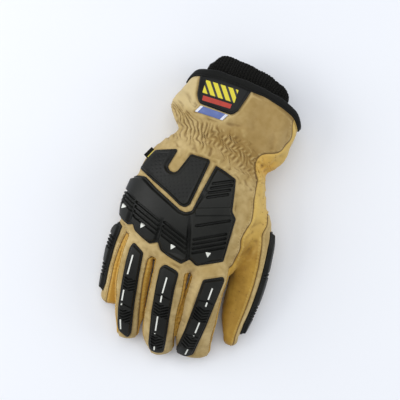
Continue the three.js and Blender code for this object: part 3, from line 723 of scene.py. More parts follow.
def neighbour_mean(values, tris, rounds):
    """Values at a mesh's points, averaged with their neighbours' a number of times."""
    edges = edges_of(tris)
    count = np.maximum(np.bincount(edges.ravel(), minlength=len(values)), 1)
    for _ in range(rounds):
        total = np.bincount(edges[:, 0], values[edges[:, 1]], len(values))
        total += np.bincount(edges[:, 1], values[edges[:, 0]], len(values))
        values = total / count
    return values


def buckles(verts, tris):
    """How far the loose shell bulges or sinks at each point, in millimetres. A coarse copy of
    it is run as cloth that is cut a little too large and filled with a little air, and only
    the buckles are kept, not what the air does to the whole outline."""
    copy = add_mesh("cloth_copy", verts / 1000, tris.tolist())
    apply_modifier(copy, "REMESH", mode="VOXEL", voxel_size=CLOTH_PITCH / 1000)
    apply_modifier(copy, "SMOOTH", factor=0.5, iterations=4)
    before, coarse = triangles_of(copy)
    cloth = copy.modifiers.new("Cloth", "CLOTH")
    settings = cloth.settings
    settings.quality, settings.mass = 4, 0.3
    settings.use_pressure, settings.uniform_pressure_force = True, 1.0
    settings.shrink_min = -0.045
    settings.bending_stiffness = 0.25
    settings.effector_weights.gravity = 0
    cloth.collision_settings.use_collision = False
    cloth.point_cache.frame_start, cloth.point_cache.frame_end = 1, CLOTH_STEPS
    for step in range(1, CLOTH_STEPS + 1):
        bpy.context.scene.frame_set(step)
    select_only(copy)
    bpy.ops.object.modifier_apply(modifier=cloth.name)
    after = triangles_of(copy)[0]
    bpy.data.objects.remove(copy)
    bpy.context.scene.frame_set(1)
    out = np.einsum("ij,ij->i", after - before, vertex_normals(before, coarse)) * 1000
    out = out - neighbour_mean(out, coarse, 14)
    tree = KDTree(len(before))
    for k, point in enumerate(before * 1000):
        tree.insert(point, k)
    tree.balance()
    relief = np.empty(len(verts))
    for k, point in enumerate(verts):
        near = tree.find_n(point, 4)
        weight = np.array([1 / (0.3 + away) for _, _, away in near])
        relief[k] = out[[index for _, index, _ in near]] @ weight / weight.sum()
    relief = neighbour_mean(relief, tris, 5)
    return CLOTH_LIMIT * np.tanh(relief / CLOTH_LIMIT)


def turn_from(near, middle):
    """Degrees from a middle to each point's angle round its limb, the shorter way."""
    return (near["angle"] - middle + 180) % 360 - 180


def wedge(near, low, high):
    """Millimetres that a point lies inside the wedge between two angles of a section."""
    turn = turn_from(near, (low + high) / 2)
    return ((high - low) / 2 - np.abs(turn)) * math.pi / 180 * near["reach"]


def coordinates(points, sections, end):
    """Where points lie on the hand or a limb: the angle round it, how far along it, about how
    far outside its surface, which ends beyond the last section, and how far from its middle."""
    centre, t = sections["centre"], sections["t"]
    index = np.zeros(len(points), int)
    for start in range(0, len(points), 20000):
        part = points[start:start + 20000, None] - centre[None]
        gap = np.abs(np.einsum("ijk,jk->ij", part, t))
        index[start:start + 20000] = np.argmin(gap + 0.02 * np.linalg.norm(part, axis=2), axis=1)
    rel = points - centre[index]
    a, b, c = (np.einsum("ij,ij->i", rel, sections[key][index]) for key in "uvt")
    w, h, p = (sections[key][index] for key in ("w", "h", "power"))
    x = a / w
    z = (b + sections["arch"][index] * np.clip(x, -1, 1) ** 2) / h
    angle = np.degrees(np.arctan2(
        np.sign(z) * np.abs(z) ** (p / 2), np.sign(x) * np.abs(x) ** (p / 2)))
    away = ((np.abs(x) ** p + np.abs(z) ** p) ** (1 / p) - 1) * np.minimum(w, h)
    away = np.where(index == len(centre) - 1, np.maximum(away, c - end), away)
    away = np.where(index == 0, np.maximum(away, -c), away)
    along = run_along(centre)[index] + c
    return {"angle": angle, "along": along, "away": away, "reach": (w + h) / 2}


def limb_coordinates(points, name):
    limb = LIMBS[name]
    sections = limb_sections(limb["rows"], through(limb["rows"], 140))
    return coordinates(points, sections, limb["tip"][0])


def blended(near, fields, softness=1.2):
    """Each point's field from the limb whose surface it lies on, blended at the webs."""
    away = np.stack([near[name]["away"] for name in fields])
    weight = np.exp(-np.clip(away - away.min(axis=0), 0, 12) / softness)
    value = np.stack([fields[name] for name in fields])
    return (weight * value).sum(axis=0) / weight.sum(axis=0)


def seam_fields(verts, near):
    """The fields whose 0 lines are the seams. Each is in millimetres and above 0 inside."""
    x, y, z = verts.T
    none = np.full(len(verts), -8.0)
    angle = near["hand"]["angle"] % 360
    left = np.clip((LITTLE_SIDE_SEAM - angle) * math.pi / 180 * LITTLE_SIDE_REACH, -MOST, MOST)
    left = np.where(np.abs(angle - 180) < 90, left, np.where(z > 30, MOST, -MOST))
    low = 31 - 30 * smoothstep(-x, -30, 0)
    right = np.minimum(-path_distance(verts[:, :2], THUMB_SIDE_SEAM), z - low)
    back = {
        "hand": np.minimum(left, right), "index": wedge(near["index"], 25, 180),
        "middle": wedge(near["middle"], 0, 180), "ring": wedge(near["ring"], 0, 180),
        "little": wedge(near["little"], 20, 205), "thumb": none,
    }
    fields = {"back": np.clip(blended(near, back), -MOST, MOST)}
    for key, (right_of, left_of, gap, height, size) in FORKS.items():
        own = {name: none for name in back}
        web = np.minimum(size - np.abs(x - gap), size - np.abs(z - height))
        own["hand"] = np.minimum(web, -y - 48)
        own[right_of] = wedge(near[right_of], *LIMBS[right_of]["right"][::-1])
        own[left_of] = wedge(near[left_of], *LIMBS[left_of]["left"])
        fields[key] = blended(near, own, 0.8)
    own = {name: none for name in back}
    taper = 42 * smoothstep(y, -9, 14)
    own["thumb"] = np.minimum(wedge(near["thumb"], 40, 150 - taper), 16 - y)
    fields["thumb_back"] = blended(near, own, 0.8)
    return fields


def rim_field(verts):
    """More than 0 on the hand's side of the cuff's rim."""
    rim = hand_sections(HAND, [0.0])
    rel = verts - rim["centre"][0]
    across = np.clip((rel @ rim["u"][0]) / rim["w"][0], -1, 1)
    share = RIM_PALM_SHARE + (1 - RIM_PALM_SHARE) * smoothstep(rel[:, 2], -4, 4)
    return rel @ rim["t"][0] + rim["bulge"][0] * share * rim_share(across, RIM_FALLS)


def along_path(points, path):
    """How far along a path and how far to its left each point lies."""
    path = np.asarray(path, float)
    best = np.full(len(points), 1e9)
    along, side = np.zeros(len(points)), np.zeros(len(points))
    start_at = 0.0
    last = len(path) - 2
    for k, (start, end) in enumerate(zip(path[:-1], path[1:])):
        d = end - start
        length = np.linalg.norm(d)
        d = d / length
        rel = points - start
        f = rel @ d
        held = np.clip(f, -1e9 if k == 0 else 0, 1e9 if k == last else length)
        off = rel - held[:, None] * d
        away = np.linalg.norm(off, axis=1)
        nearer = away < best
        best = np.where(nearer, away, best)
        along = np.where(nearer, start_at + held, along)
        side = np.where(nearer, d[0] * rel[:, 1] - d[1] * rel[:, 0], side)
        start_at += length
    return along, side


def run_along(points):
    """How far along a line of points each of them lies."""
    return np.concatenate([[0], np.cumsum(np.linalg.norm(np.diff(points, axis=0), axis=1))])


def bell(value, width):
    return np.exp(-(value / width) ** 2)


def spot(points, place, size):
    """1 at a place seen from above, falling to 0 round it."""
    return bell(np.hypot(*(points[:, :2] - np.array(place)).T), size)


def between(value, low, high, blur=0.6):
    """1 from low to high and 0 beyond, with soft ends."""
    return smoothstep(high - value, -blur, blur) * smoothstep(value - low, -blur, blur)


def folds(verts, normals, near, fields):
    """How far each point of the skin moves out, in millimetres: the elastic's gathers, the
    folds that run out of them, the seams, the creases at the joints and the soft swells."""
    x, y, z = verts.T
    plan = verts[:, :2]
    upper = smoothstep(normals[:, 2], -0.35, 0.25)
    wander, fine, rough = noise(plan, 24, 3), noise(plan, 12, 8), noise(verts, 7, 4)
    # The gathers on the elastic, in staggered zigzag rows towards the thumb's side
    off = along_path(plan, ELASTIC)[1]
    rightward = smoothstep(x, -32, 14)
    rows = off / GATHER_ROW + 0.3 * wander + 0.12 * fine
    zigzag = np.arcsin(np.sin(math.pi * rows)) * (0.45 + 0.8 * rightward)
    lean = 0.075 * np.maximum(off - 1, 0) ** 2 * (1 - smoothstep(x, -48, -22))
    across = 0.94 * x + 0.342 * y + zigzag + 0.8 * wander + 0.45 * fine + lean
    turn = 2 * math.pi * across / GATHER_PITCH + 0.5 * math.pi * rightward * (np.round(rows) % 2)
    crest = 1 - rightward * (1 - np.abs(np.cos(math.pi * rows)) ** 0.7)
    gather = (0.9 + 0.35 * rough) * np.cos(turn) * crest * (1 - 0.3 * rightward) + 0.2 * rough
    reach = np.where(off > 0, 11.5, 13.0) + 1.5 * wander
    band = np.exp(-(np.abs(off) / reach) ** 4)
    facing = smoothstep(normals[:, 2], 0.0, 0.6)
    move = GATHER_HEIGHT * band * gather * (0.4 * upper + 0.6 * facing)
    # The broader folds that run out of them on both sides
    run = bell(off + 15, 7) + 0.55 * bell(off - 14, 7) + 0.4 * bell(off + 26, 9)
    sway = across + 0.10 * off + 1.6 * wander
    move += FOLD_HEIGHT * run * np.cos(2 * math.pi * sway / FOLD_PITCH) * (0.7 + 0.3 * rough)
    # The pleats round the pinch on the thumb's side, and the single creases
    rel = plan - PINCH
    r, turn = np.hypot(*rel.T), np.arctan2(rel[:, 1], rel[:, 0])
    side_folds = smoothstep(r, 3, 9) * (1 - smoothstep(r, 16, 28)) * smoothstep(x, 29, 36)
    pleat = np.sqrt(np.sin(4.0 * turn + 0.03 * r + 0.5 * wander) ** 2 + 0.14) - 0.72
    move += side_folds * (0.6 + PLEAT_HEIGHT * pleat)
    for start, end, depth, width in CREASES:
        gap = line_place(plan, start, end)[1]
        ends = np.minimum(*(np.hypot(*(plan - np.array(p)).T) for p in (start, end)))
        fade = smoothstep(ends, 0, 0.35 * math.dist(start, end)) * upper
        move += fade * depth * (-bell(gap, width) + 0.4 * bell(gap - 2.3 * width, 1.5 * width))
    # Soft swells, the creases at the joints, and the ring finger's fuller right side
    move += 0.4 * noise(verts, 38, 5) + 0.1 * noise(verts, 13, 6)
    for name, (places, depth) in BENDS.items():
        own = near[name]
        on = 1 - smoothstep(own["away"], 0.5, 2.5)
        for place in places:
            gap = own["along"] - place
            wave = 0.5 + 0.5 * np.cos(2 * math.pi * gap / BEND_PITCH + 0.6 * rough)
            move -= depth * on * bell(gap, 9) * wave
    own = near["ring"]
    side = bell(turn_from(own, 8), 26) * (1 - smoothstep(own["away"], 0.5, 2))
    along = own["along"]
    move += RING_SIDE * side * smoothstep(along, 22, 40) * (1 - smoothstep(along, 92, 110))
    # The seams' valleys and the puckered ridges beside them
    crest = np.cos(2 * math.pi * (y + 0.5 * x + 0.4 * z) / PUCKER_PITCH)
    for field in seam_lines(fields):
        gap = np.abs(field)
        ridge = (SEAM_RIDGE + 0.1 * crest) * bell(gap - 2.4, 1.2)
        move += ridge - SEAM_DEPTH * bell(gap, 0.85)
    return move


def painted_light_and_shade(verts):
    """Painted shade at the elastic, more towards the thumb's side, and on the cuff's right, and
    painted light, below 0, on the cuff's left.
    """
    plan = verts[:, :2]
    off = along_path(plan, SHADE_BAND)[1]
    place = plan[:, 0] + 4 * noise(plan, 30, 7)
    cuff = 0.6 * smoothstep(off, -4, 12) * smoothstep(place, -25, 15)
    pale = 0.8 * smoothstep(off, 4, 16) * smoothstep(-place, 8, 40)
    return np.maximum(bell(off, 17) * smoothstep(place, -50, 10), cuff) - pale


def seam_lines(fields):
    """Each seam's field, far from 0 where another panel covers that seam."""
    lines = [field for key, field in fields.items() if key != "back"]
    covered = np.max(lines, axis=0)
    return lines + [np.where(covered > 0.3, 9.0, fields["back"])]


def under_guards(points):
    """1 where a guard or the label presses the skin flat, falling to 0 beyond its edge."""
    outlines = (KNUCKLE_OUTLINE, METACARPAL_OUTLINE, INDEX_OUTLINE, MIDDLE_OUTLINE,
                RING_OUTLINE, LABEL_OUTLINE, TAG_OUTLINE)
    return np.max([smoothstep(over(outline)(points), -3, -0.5) for outline in outlines], axis=0)


def dress_skin():
    """The skin, its seams' fields and the same skin with its folds."""
    verts, tris = make_skin()
    verts[:, 2] = np.maximum(verts[:, 2], 0.05)
    normals = vertex_normals(verts, tris)
    near = {"hand": coordinates(verts, hand_sections(HAND, through(HAND, 220)), HAND_END[0])}
    for name in LIMBS:
        near[name] = limb_coordinates(verts, name)
    fields = seam_fields(verts, near)
    move = folds(verts, normals, near, fields)
    slack = smoothstep(verts[:, 1], -60, -30)
    slack = np.maximum(slack, 1 - smoothstep(near["thumb"]["away"], 0, 4))
    slack *= 1 - 0.8 * spot(verts, *CALM_SPOT)
    move += buckles(verts, tris) * (0.35 + 0.65 * slack)
    press = under_guards(verts) * smoothstep(normals[:, 2], 0.0, 0.3)
    for name, row in STRIP_GUARDS.items():
        on = 1 - smoothstep(near[name]["away"], 1, 2.5)
        field = strip_fields(name, **row)[0](verts)
        press = np.maximum(press, on * smoothstep(field, -3, -0.5))
    rim = rim_field(verts)
    flat = np.maximum(press, 1 - smoothstep(rim, 6.0, 9.5))  # under the binding as well
    move = move * (1 - flat) - 0.3 * flat + press * (1 - press)
    outer = verts + normals * move[:, None]
    outer[:, 2] = np.maximum(outer[:, 2], 0.0)
    return {
        "verts": verts, "tris": tris, "normals": normals, "near": near, "fields": fields,
        # The fold value is above 0 in the hollows, where the materials paint shade, and below 0
        # on the crests, where they paint highlights.
        "outer": outer, "painted_fold_light": neighbour_mean(move, tris, 5) - move, "rim": rim,
        # The next value is painted shade and light, none of it under the guards.
        "painted_light_and_shade": painted_light_and_shade(verts) * (1 - press),
    }


def make_panels(skin, materials):
    """The sewn panels, each cut out of the folded skin along its seams and given a wall."""
    fields = skin["fields"]
    # The seam value is 1 along the seams, where the materials paint shade in their grooves.
    seam = np.max([bell(field, 0.8) for field in seam_lines(fields)], axis=0)
    values = [skin["outer"], skin["normals"], skin["painted_fold_light"], seam, skin["painted_light_and_shade"]]
    first = len(values)
    columns = {name: first + k for k, name in enumerate(fields)}
    back = columns.pop("back")
    rest = split(skin["verts"], skin["tris"], skin["rim"], values + list(fields.values()))
    found = {}
    for name, column in columns.items():
        verts, tris, values = rest
        found[name] = split(verts, tris, values[column], values)
        rest = split(verts, tris, -values[column], values)
    verts, tris, values = rest
    found["back_canvas"] = split(verts, tris, values[back], values)
    found["palm_leather"] = split(verts, tris, -values[back], values)
    slots = {"back_canvas": "canvas", "thumb_back": "canvas", "palm_leather": "leather"}
    for name, part in found.items():
        base, tris, values = largest_part(*part)
        outer, normals, painted_fold_light, seam, painted_light_and_shade_there = values[:first]
        verts, faces = thick(outer, base - normals * SKIN_WALL, tris)
        slot = slots.get(name, "fourchette_leather")
        # The fourchettes get painted light: a lighter, warmer leather that makes up for the shade
        # between the fingers.
        if name not in slots:
            painted_light_and_shade_there = np.full(len(base), 0.8)
        # On the palm leather the painted light is kept only round the spot by the pinch, where it
        # paints the leather lighter and warmer, and the painted shade in the creases is halved
        # there.
        if name == "palm_leather":
            painted_warm_light = spot(base, *LIT_LEATHER_SPOT)
            painted_light_and_shade_there, painted_fold_light = painted_light_and_shade_there * painted_warm_light, painted_fold_light * (1 - 0.5 * painted_warm_light)
        shades = {"painted_fold_light": painted_fold_light, "seam": seam, "painted_light_and_shade": painted_light_and_shade_there}
        make_piece(
            f"{name}_panel", verts, faces, materials["canvas" if slot == "canvas" else "leather"],
            slot, [name], {key: np.tile(value, 2) for key, value in shades.items()},
            keep=PANEL_SHARE)


def patch(skin, name, field_of, height_of, material, slot, node, levels=1, region=True,
          lowest=-1.5):
    """A moulded piece that lies on the skin: the skin inside a field's 0 line and the region,
    refined a number of times and raised by a height. It ends where the skin faces further down
    than lowest, the height of its normal. Returns its top face and its stitches' lines."""
    verts, tris, normals = skin["verts"], skin["tris"], skin["normals"]
    use = (field_of(verts) > -3.5) & (normals[:, 2] > lowest - 0.2) & region
    verts, tris, values = used_only(verts, tris[use[tris].all(axis=1)], [normals])
    for _ in range(levels):
        verts, tris, values = finer(verts, tris, values)
    field = np.minimum(field_of(verts), 20 * (unit(values[0])[:, 2] - lowest))
    verts, tris, values = largest_part(*split(verts, tris, field, values + [field]))
    normals, field = unit(values[0]), np.maximum(values[1], 0)
    height = height_of(verts, field)
    top = verts + normals * height[:, None]
    bottom = verts - normals * GUARD_SINK
    top[:, 2] = np.maximum(top[:, 2], 0.15)
    bottom[:, 2] = np.maximum(bottom[:, 2], 0.05)
    shades = {"height": np.concatenate([height, height * 0])}
    make_piece(name, *thick(top, bottom, tris), material, slot, [node], shades, sharp=32,
               keep=GUARD_SHARES[levels - 1])
    facing = vertex_normals(top, tris)
    return (top, tris, facing), level_lines(
        top, tris, facing, field, FLANGE_STITCH_GAP)


def inlays(name, tops, outlines, material, slot, rise=0.14):
    """Thin flush marks on top faces, one for each outline seen from above, as one piece."""
    parts = []
    for (top, tris, normals), outline in zip(tops, outlines):
        field_of = over(outline)
        use = (field_of(top) > -1.5) & (normals[:, 2] > 0.1)
        verts, tris, values = used_only(top, tris[use[tris].all(axis=1)], [normals])
        verts, tris, (facing,) = split(verts, tris, field_of(verts), values)
        if len(tris):
            parts.append(thick(verts + facing * rise, verts - facing * INLAY_SINK, tris))
    make_piece(name, *joined(parts), material, slot)


def shoulder(field, low, high, start, end, edge=0.7):
    """A moulding's height: a rounded edge, a flat flange, then a slope up to its top."""
    height = edge + (low - edge) * smoothstep(field, 0, 0.8)
    return height + (high - low) * smoothstep(field, start, end)


def knuckle_height(verts, field):
    plan = verts[:, :2]
    height = shoulder(field, GUARD_FLANGE, KNUCKLE_TOP, 1.7, 3.8)
    for start, end, depth, width in VALLEYS:
        share, away = line_place(plan, start, end)
        share = np.clip(share * 2.2, 0, 1)
        height -= depth * share * (1 - smoothstep(away, 0.2, width)) * smoothstep(field, 0.2, 1)
    band = outline_distance(plan, KNUCKLE_BAND)
    height += 1.5 * smoothstep(band, -0.3, 0.7) * smoothstep(field, 1.6, 3.2)
    deep = np.zeros(len(plan))
    for x, y, turn, length, count, step_x, step_y in GROOVES:
        d = np.array([math.cos(math.radians(turn)), math.sin(math.radians(turn))]) * length / 2
        for k in range(count):
            middle = np.array([x + k * step_x, y + k * step_y])
            away = line_place(plan, middle - d, middle + d)[1]
            wall = smoothstep(away, GROOVE_WIDTH * 0.26, GROOVE_WIDTH * 0.6)
            deep = np.maximum(deep, GROOVE_DEPTH * (1 - wall))
    deep *= 0.4 + 0.6 * smoothstep(field, 0.8, 2.8)
    return np.maximum(height - deep, GUARD_FLOOR)


def metacarpal_height(verts, field):
    plan = verts[:, :2]
    height = shoulder(field, GUARD_FLANGE, METACARPAL_TOP, 1.5, 3.2)
    flat = smoothstep(field, 3.8, 4.6)
    a, b = (np.cos(2 * math.pi * (plan @ np.array(way)) / PIT_PITCH)
            for way in ([0.94, -0.34], [0.34, 0.94]))
    return height - flat * (0.35 + 0.5 * np.clip(a * b - 0.45, 0, 1))


def finger_height(path, joints, cuts):
    """The height of a finger's guard: flat panels with chevron ribs between them where the
    finger bends. path is its middle seen from above, and the places are y along it."""
    path = np.asarray(path, float)

    def height_of(verts, field):
        plan = verts[:, :2]
        along, off = along_path(plan, path)
        height = shoulder(field, GUARD_FLANGE, FINGER_TOP, 1.6, 3.0)
        y = plan[:, 1]
        inner = smoothstep(field, 2.0, 3.2)
        for start, end in joints:
            wave = np.cos(2 * math.pi * (along + 0.5 * np.abs(off)) / FINGER_RIB_PITCH)
            height -= inner * between(y, end, start) * (0.4 + 2.0 * smoothstep(wave, -0.45, 0.45))
        for place in cuts:
            bend = y - place + 0.16 * np.abs(off)
            height -= 1.5 * inner * (1 - smoothstep(np.abs(bend), 0.35, 0.9))
        return np.maximum(height, GUARD_FLOOR)

    return height_of


def strip_fields(name, start, end, half, ribs, middle):
    """Field and height of a guard that runs along a limb's back, given in millimetres from
    the limb's start, half its width at five places and the angle of its middle."""

    def place(verts):
        near = limb_coordinates(verts, name)
        return near["along"], turn_from(near, middle) * math.pi / 180 * near["reach"]

    def field_of(verts):
        s, across = place(verts)
        share = np.clip((s - start) / (end - start), 0, 1)
        width = np.interp(share, [0, 0.12, 0.5, 0.88, 1], half)
        return np.minimum(np.minimum(width - np.abs(across), s - start), end - s)

    def height_of(verts, field):
        s = place(verts)[0]
        height = shoulder(field, GUARD_FLANGE, STRIP_TOP, 1.4, 2.8)
        inner = smoothstep(field, 1.2, 2.4)
        for low, high in ribs:
            wave = np.cos(2 * math.pi * s / STRIP_RIB_PITCH)
            height -= inner * between(s, low, high) * (0.2 + 2.3 * smoothstep(wave, -0.4, 0.4))
        return np.maximum(height, GUARD_FLOOR)

    return field_of, height_of


def level_lines(verts, tris, normals, field, level, keep=None):
    """The lines on a mesh where a field is at a level, each as points and their normals.
    Only the stretches where keep, if given, is above 0 are returned."""
    value = field - level
    value = np.where(np.abs(value) < 1e-5, 1e-5, value)
    inside = value > 0
    count = inside[tris].sum(axis=1)
    links = {}
    for tri in tris[(count == 1) | (count == 2)].tolist():
        cuts = [(min(a, b), max(a, b)) for a, b in zip(tri, tri[1:] + tri[:1])
                if inside[a] != inside[b]]
        links.setdefault(cuts[0], []).append(cuts[1])
        links.setdefault(cuts[1], []).append(cuts[0])
    seen, lines = set(), []
    for start in sorted(links, key=lambda cut: (len(links[cut]), cut)):
        if start in seen:
            continue
        chain = [start]
        seen.add(start)
        while True:
            ways = [cut for cut in links[chain[-1]] if cut not in seen]
            if not ways:
                break
            chain.append(ways[0])
            seen.add(ways[0])
        a, b = np.array(chain).T
        share = (value[a] / (value[a] - value[b]))[:, None]
        points = verts[a] * (1 - share) + verts[b] * share
        facing = normals[a] * (1 - share) + normals[b] * share
        for _ in range(4):
            if len(points) > 2:
                points[1:-1] = (points[:-2] + 2 * points[1:-1] + points[2:]) / 4
                facing[1:-1] = (facing[:-2] + 2 * facing[1:-1] + facing[2:]) / 4
        good = np.ones(len(a), bool) if keep is None else (keep[a] > 0) & (keep[b] > 0)
        ends = np.flatnonzero(np.diff(np.concatenate([[0], good.astype(int), [0]])))
        for low, high in zip(ends[::2], ends[1::2]):
            if high - low > 6:
                lines.append((points[low:high], unit(facing[low:high])))
    return lines


def make_stitches(name, lines, material, slot, pitch=3.0, length=2.1, half=0.27):
    """Rows of stitches along lines, each a small arched thread whose ends go into the cloth."""
    turns = np.radians(np.arange(0, 360, 60))
    shape = [(-1.0, 0.0, -0.3)]
    for t in (-0.72, 0.0, 0.72):
        round_ = half * math.sqrt(1 - t * t * 0.6)
        lift = 0.22 * (1 - t * t)
        shape += [(t, round_ * math.cos(a), round_ * math.sin(a) + lift) for a in turns]
    shape = np.array(shape + [(1.0, 0.0, -0.3)]) * [length / 2, 1, 1]
    faces = []
    for i in range(6):
        j = (i + 1) % 6
        faces += [(0, 1 + j, 1 + i), (19, 13 + i, 13 + j)]
        for ring in (1, 7):
            faces += [(ring + i, ring + j, ring + 6 + j), (ring + i, ring + 6 + j, ring + 6 + i)]
    faces = outward(shape, np.array(faces))
    parts = []
    for points, facing in lines:
        run = run_along(points)
        places = np.arange(pitch / 2, run[-1] - length / 2, pitch)
        if not len(places):
            continue

        def at(where, values):
            return np.stack([np.interp(where, run, values[:, k]) for k in range(3)], axis=1)

        d = unit(at(places + 0.6, points) - at(places - 0.6, points))
        across = unit(np.cross(at(places, facing), d))
        up = np.cross(d, across)
        middle = at(places, points)
        verts = (middle[:, None] + d[:, None] * shape[None, :, :1]
                 + across[:, None] * shape[None, :, 1:2] + up[:, None] * shape[None, :, 2:])
        starts = np.arange(len(places))[:, None, None] * len(shape)
        parts.append((verts.reshape(-1, 3), (faces[None] + starts).reshape(-1, 3)))
    make_piece(name, *joined(parts), material, slot, sharp=70)


def seam_stitches(skin, materials):
    """The rows of stitches beside the seams, left out below the guards, the label and tape."""
    verts, tris, fields = skin["outer"], skin["tris"], skin["fields"]
    normals = vertex_normals(verts, tris)
    clear = np.minimum(0.05 - under_guards(verts) * (normals[:, 2] > -0.2), skin["rim"] - 8)
    clear = np.minimum(clear, verts[:, 2] - 0.8)
    for name, row in STRIP_GUARDS.items():
        clear = np.minimum(clear, -1.0 - strip_fields(name, **row)[0](skin["verts"]))
    golden = []
    sides = {key: field for key, field in fields.items() if key != "back"}
    for key, field in sides.items():
        others = np.max([other for name, other in sides.items() if name != key], axis=0)
        free = np.minimum(clear, -1.0 - others)
        golden += level_lines(verts, tris, normals, field, -SIDE_STITCH_GAP, free)
    free = np.minimum(clear, -2.5 - np.max(list(sides.values()), axis=0))
    tan = level_lines(verts, tris, normals, fields["back"], BACK_STITCH_GAP, free)
    make_stitches("back_seam_stitches", tan, materials["tan_thread"], "canvas")
    make_stitches("finger_seam_stitches", golden, materials["golden_thread"], "leather")


def closed_tube(grid):
    """Vertices and triangles of a grid of points that closes on itself both ways."""
    rings, count = grid.shape[:2]
    k, i = np.meshgrid(np.arange(rings), np.arange(count), indexing="ij")
    a = (k * count + i).ravel()
    b = (((k + 1) % rings) * count + i).ravel()
    c = (((k + 1) % rings) * count + (i + 1) % count).ravel()
    d = (k * count + (i + 1) % count).ravel()
    tris = np.concatenate([np.stack([a, b, c], axis=1), np.stack([a, c, d], axis=1)])
    return grid.reshape(-1, 3), tris


def outward(verts, tris):
    """The triangles turned so that a closed body's faces point outwards."""
    a, b, c = (verts[tris[:, k]] for k in range(3))
    volume = np.einsum("ij,ij->i", a, np.cross(b, c)).sum()
    return tris if volume > 0 else tris[:, ::-1]


def edge_ring(rows, place, angles, grow, ahead, falls=RIM_FALLS):
    """A ring round the hand or the knit at a place in its table, that stands off it by grow
    and lies ahead of that section."""
    sections = hand_sections(rows, [place])
    sections["ahead"] = np.array([ahead])
    return surface(sections, angles, grow, falls)[0]


def uneven(points, wavelength, seed, size):
    """Points moved a little by smooth noise."""
    return points + np.stack([noise(points, wavelength, seed + k) for k in range(3)], 1) * size


def make_binding(material):
    """The tape folded over the cuff's rim, with the dip near its edge where a row of stitching
    pulls it in; the stitches themselves are not made.
    """
    angles = np.linspace(0, 360, 720, endpoint=False)
    grid = np.array([edge_ring(HAND, place, angles, grow, ahead)
                     for place, grow, ahead in TAPE_PROFILE])
    flat = uneven(grid.reshape(-1, 3), 17, 20, 0.22)
    flat[:, 2] = np.maximum(flat[:, 2], 0.1)
    verts, tris = closed_tube(flat.reshape(grid.shape))
    make_piece("cuff_binding_tape", verts, outward(verts, tris), material, "binding_tape",
               ["cuff_binding"])


def make_knit(material):
    """The knit wrist: a ribbed tube whose mouth is turned in on itself."""
    fine = np.linspace(0, 360, 3600, endpoint=False)
    ring = surface(hand_sections(KNIT, [1.0]), fine)[0]
    run = run_along(np.append(ring, ring[:1], axis=0))
    count = KNIT_RIBS * RIB_POINTS
    angles = np.interp(np.linspace(0, run[-1], count, endpoint=False), run, np.append(fine, 360))
    rib = np.cos(2 * math.pi * np.arange(count) / RIB_POINTS)
    rings = [(place, 0.0, 0.0, 1.0) for place in np.linspace(2.9, 0, 42)]
    half = KNIT_WALL / 2 + 0.4
    for turn in np.linspace(0, math.pi, 9)[1:-1]:
        rings.append((0.0, -half + half * math.cos(turn), -1.7 * math.sin(turn), 0.8))
    rings += [(place, -KNIT_WALL - 0.8, 0.0, 0.8) for place in np.linspace(0, 2.9, 18)]
    grid, up = [], []
    for place, grow, ahead, share in rings:
        grow_there = grow + 1.3 * bell(place - 0.22, 0.3)
        ring = edge_ring(KNIT, place, angles, grow_there, ahead, KNIT_FALLS)
        away = unit(ring - ring.mean(axis=0))
        grid.append(ring + away * (RIB_HEIGHT * share * rib)[:, None])
        up.append(np.full(count, KNIT_STEP * place - ahead - grow))
    grid = np.array(grid)
    flat = grid.reshape(-1, 3)
    flat = uneven(flat, 22, 30, 0.7 * smoothstep(flat[:, 1], 90, 112)[:, None])
    verts, tris = closed_tube(uneven(flat, 5, 40, 0.14).reshape(grid.shape))
    shades = {
        "rib": np.tile(rib, len(rings)), "rib_along": np.concatenate(up),
        "rib_across": np.tile(np.arange(count) / RIB_POINTS, len(rings)),
    }
    make_piece("knit_wrist", verts, outward(verts, tris), material, "knit", ["knit_cuff"],
               shades, sharp=60)


def srgb(value):
    """A hex colour as linear red, green, blue and alpha."""
    parts = [int(value[k:k + 2], 16) / 255 for k in (0, 2, 4)]
    return [c / 12.92 if c <= 0.04045 else ((c + 0.055) / 1.055) ** 2.4 for c in parts] + [1]


def add(tree, kind, inputs=None, **settings):
    """Adds a node with its settings. Each input is a value, a hex colour or the socket of
    another node, which is linked to it."""
    node = tree.nodes.new(kind)
    for key, value in settings.items():
        setattr(node, key, value)
    for key, value in (inputs or {}).items():
        if isinstance(value, bpy.types.NodeSocket):
            tree.links.new(value, node.inputs[key])
        else:
            node.inputs[key].default_value = srgb(value) if isinstance(value, str) else value
    return node


def start_material(name, noises, worked_in=()):
    """A material, its tree and its object coordinates, then the sockets of its noises, each
    given by scale, detail and roughness, and of the point attributes worked into the piece."""
    material = bpy.data.materials.new(name)
    material.use_nodes = True
    tree = material.node_tree
    tree.nodes.clear()
    place = add(tree, "ShaderNodeTexCoord").outputs["Object"]
    nodes = [add(tree, "ShaderNodeTexNoise", {
        "Vector": place, "Scale": scale, "Detail": detail, "Roughness": roughness})
        for scale, detail, roughness in noises]
    nodes += [add(tree, "ShaderNodeAttribute", attribute_name=key) for key in worked_in]
    return material, tree, place, *(node.outputs["Fac"] for node in nodes)


def tinted(tree, colour, layers):
    """A hex colour with layers over it, each a hex colour, the socket that says where it
    shows, the two values between which its share goes over and the shares at both."""
    for over_it, where, low, high, share_low, share_high in layers:
        share = add(tree, "ShaderNodeMapRange", {
            "Value": where, "From Min": low, "From Max": high, "To Min": share_low,
            "To Max": share_high}, interpolation_type="SMOOTHSTEP").outputs["Result"]
        colour = add(tree, "ShaderNodeMix", {0: share, 6: colour, 7: over_it},
                     data_type="RGBA").outputs[2]
    return colour


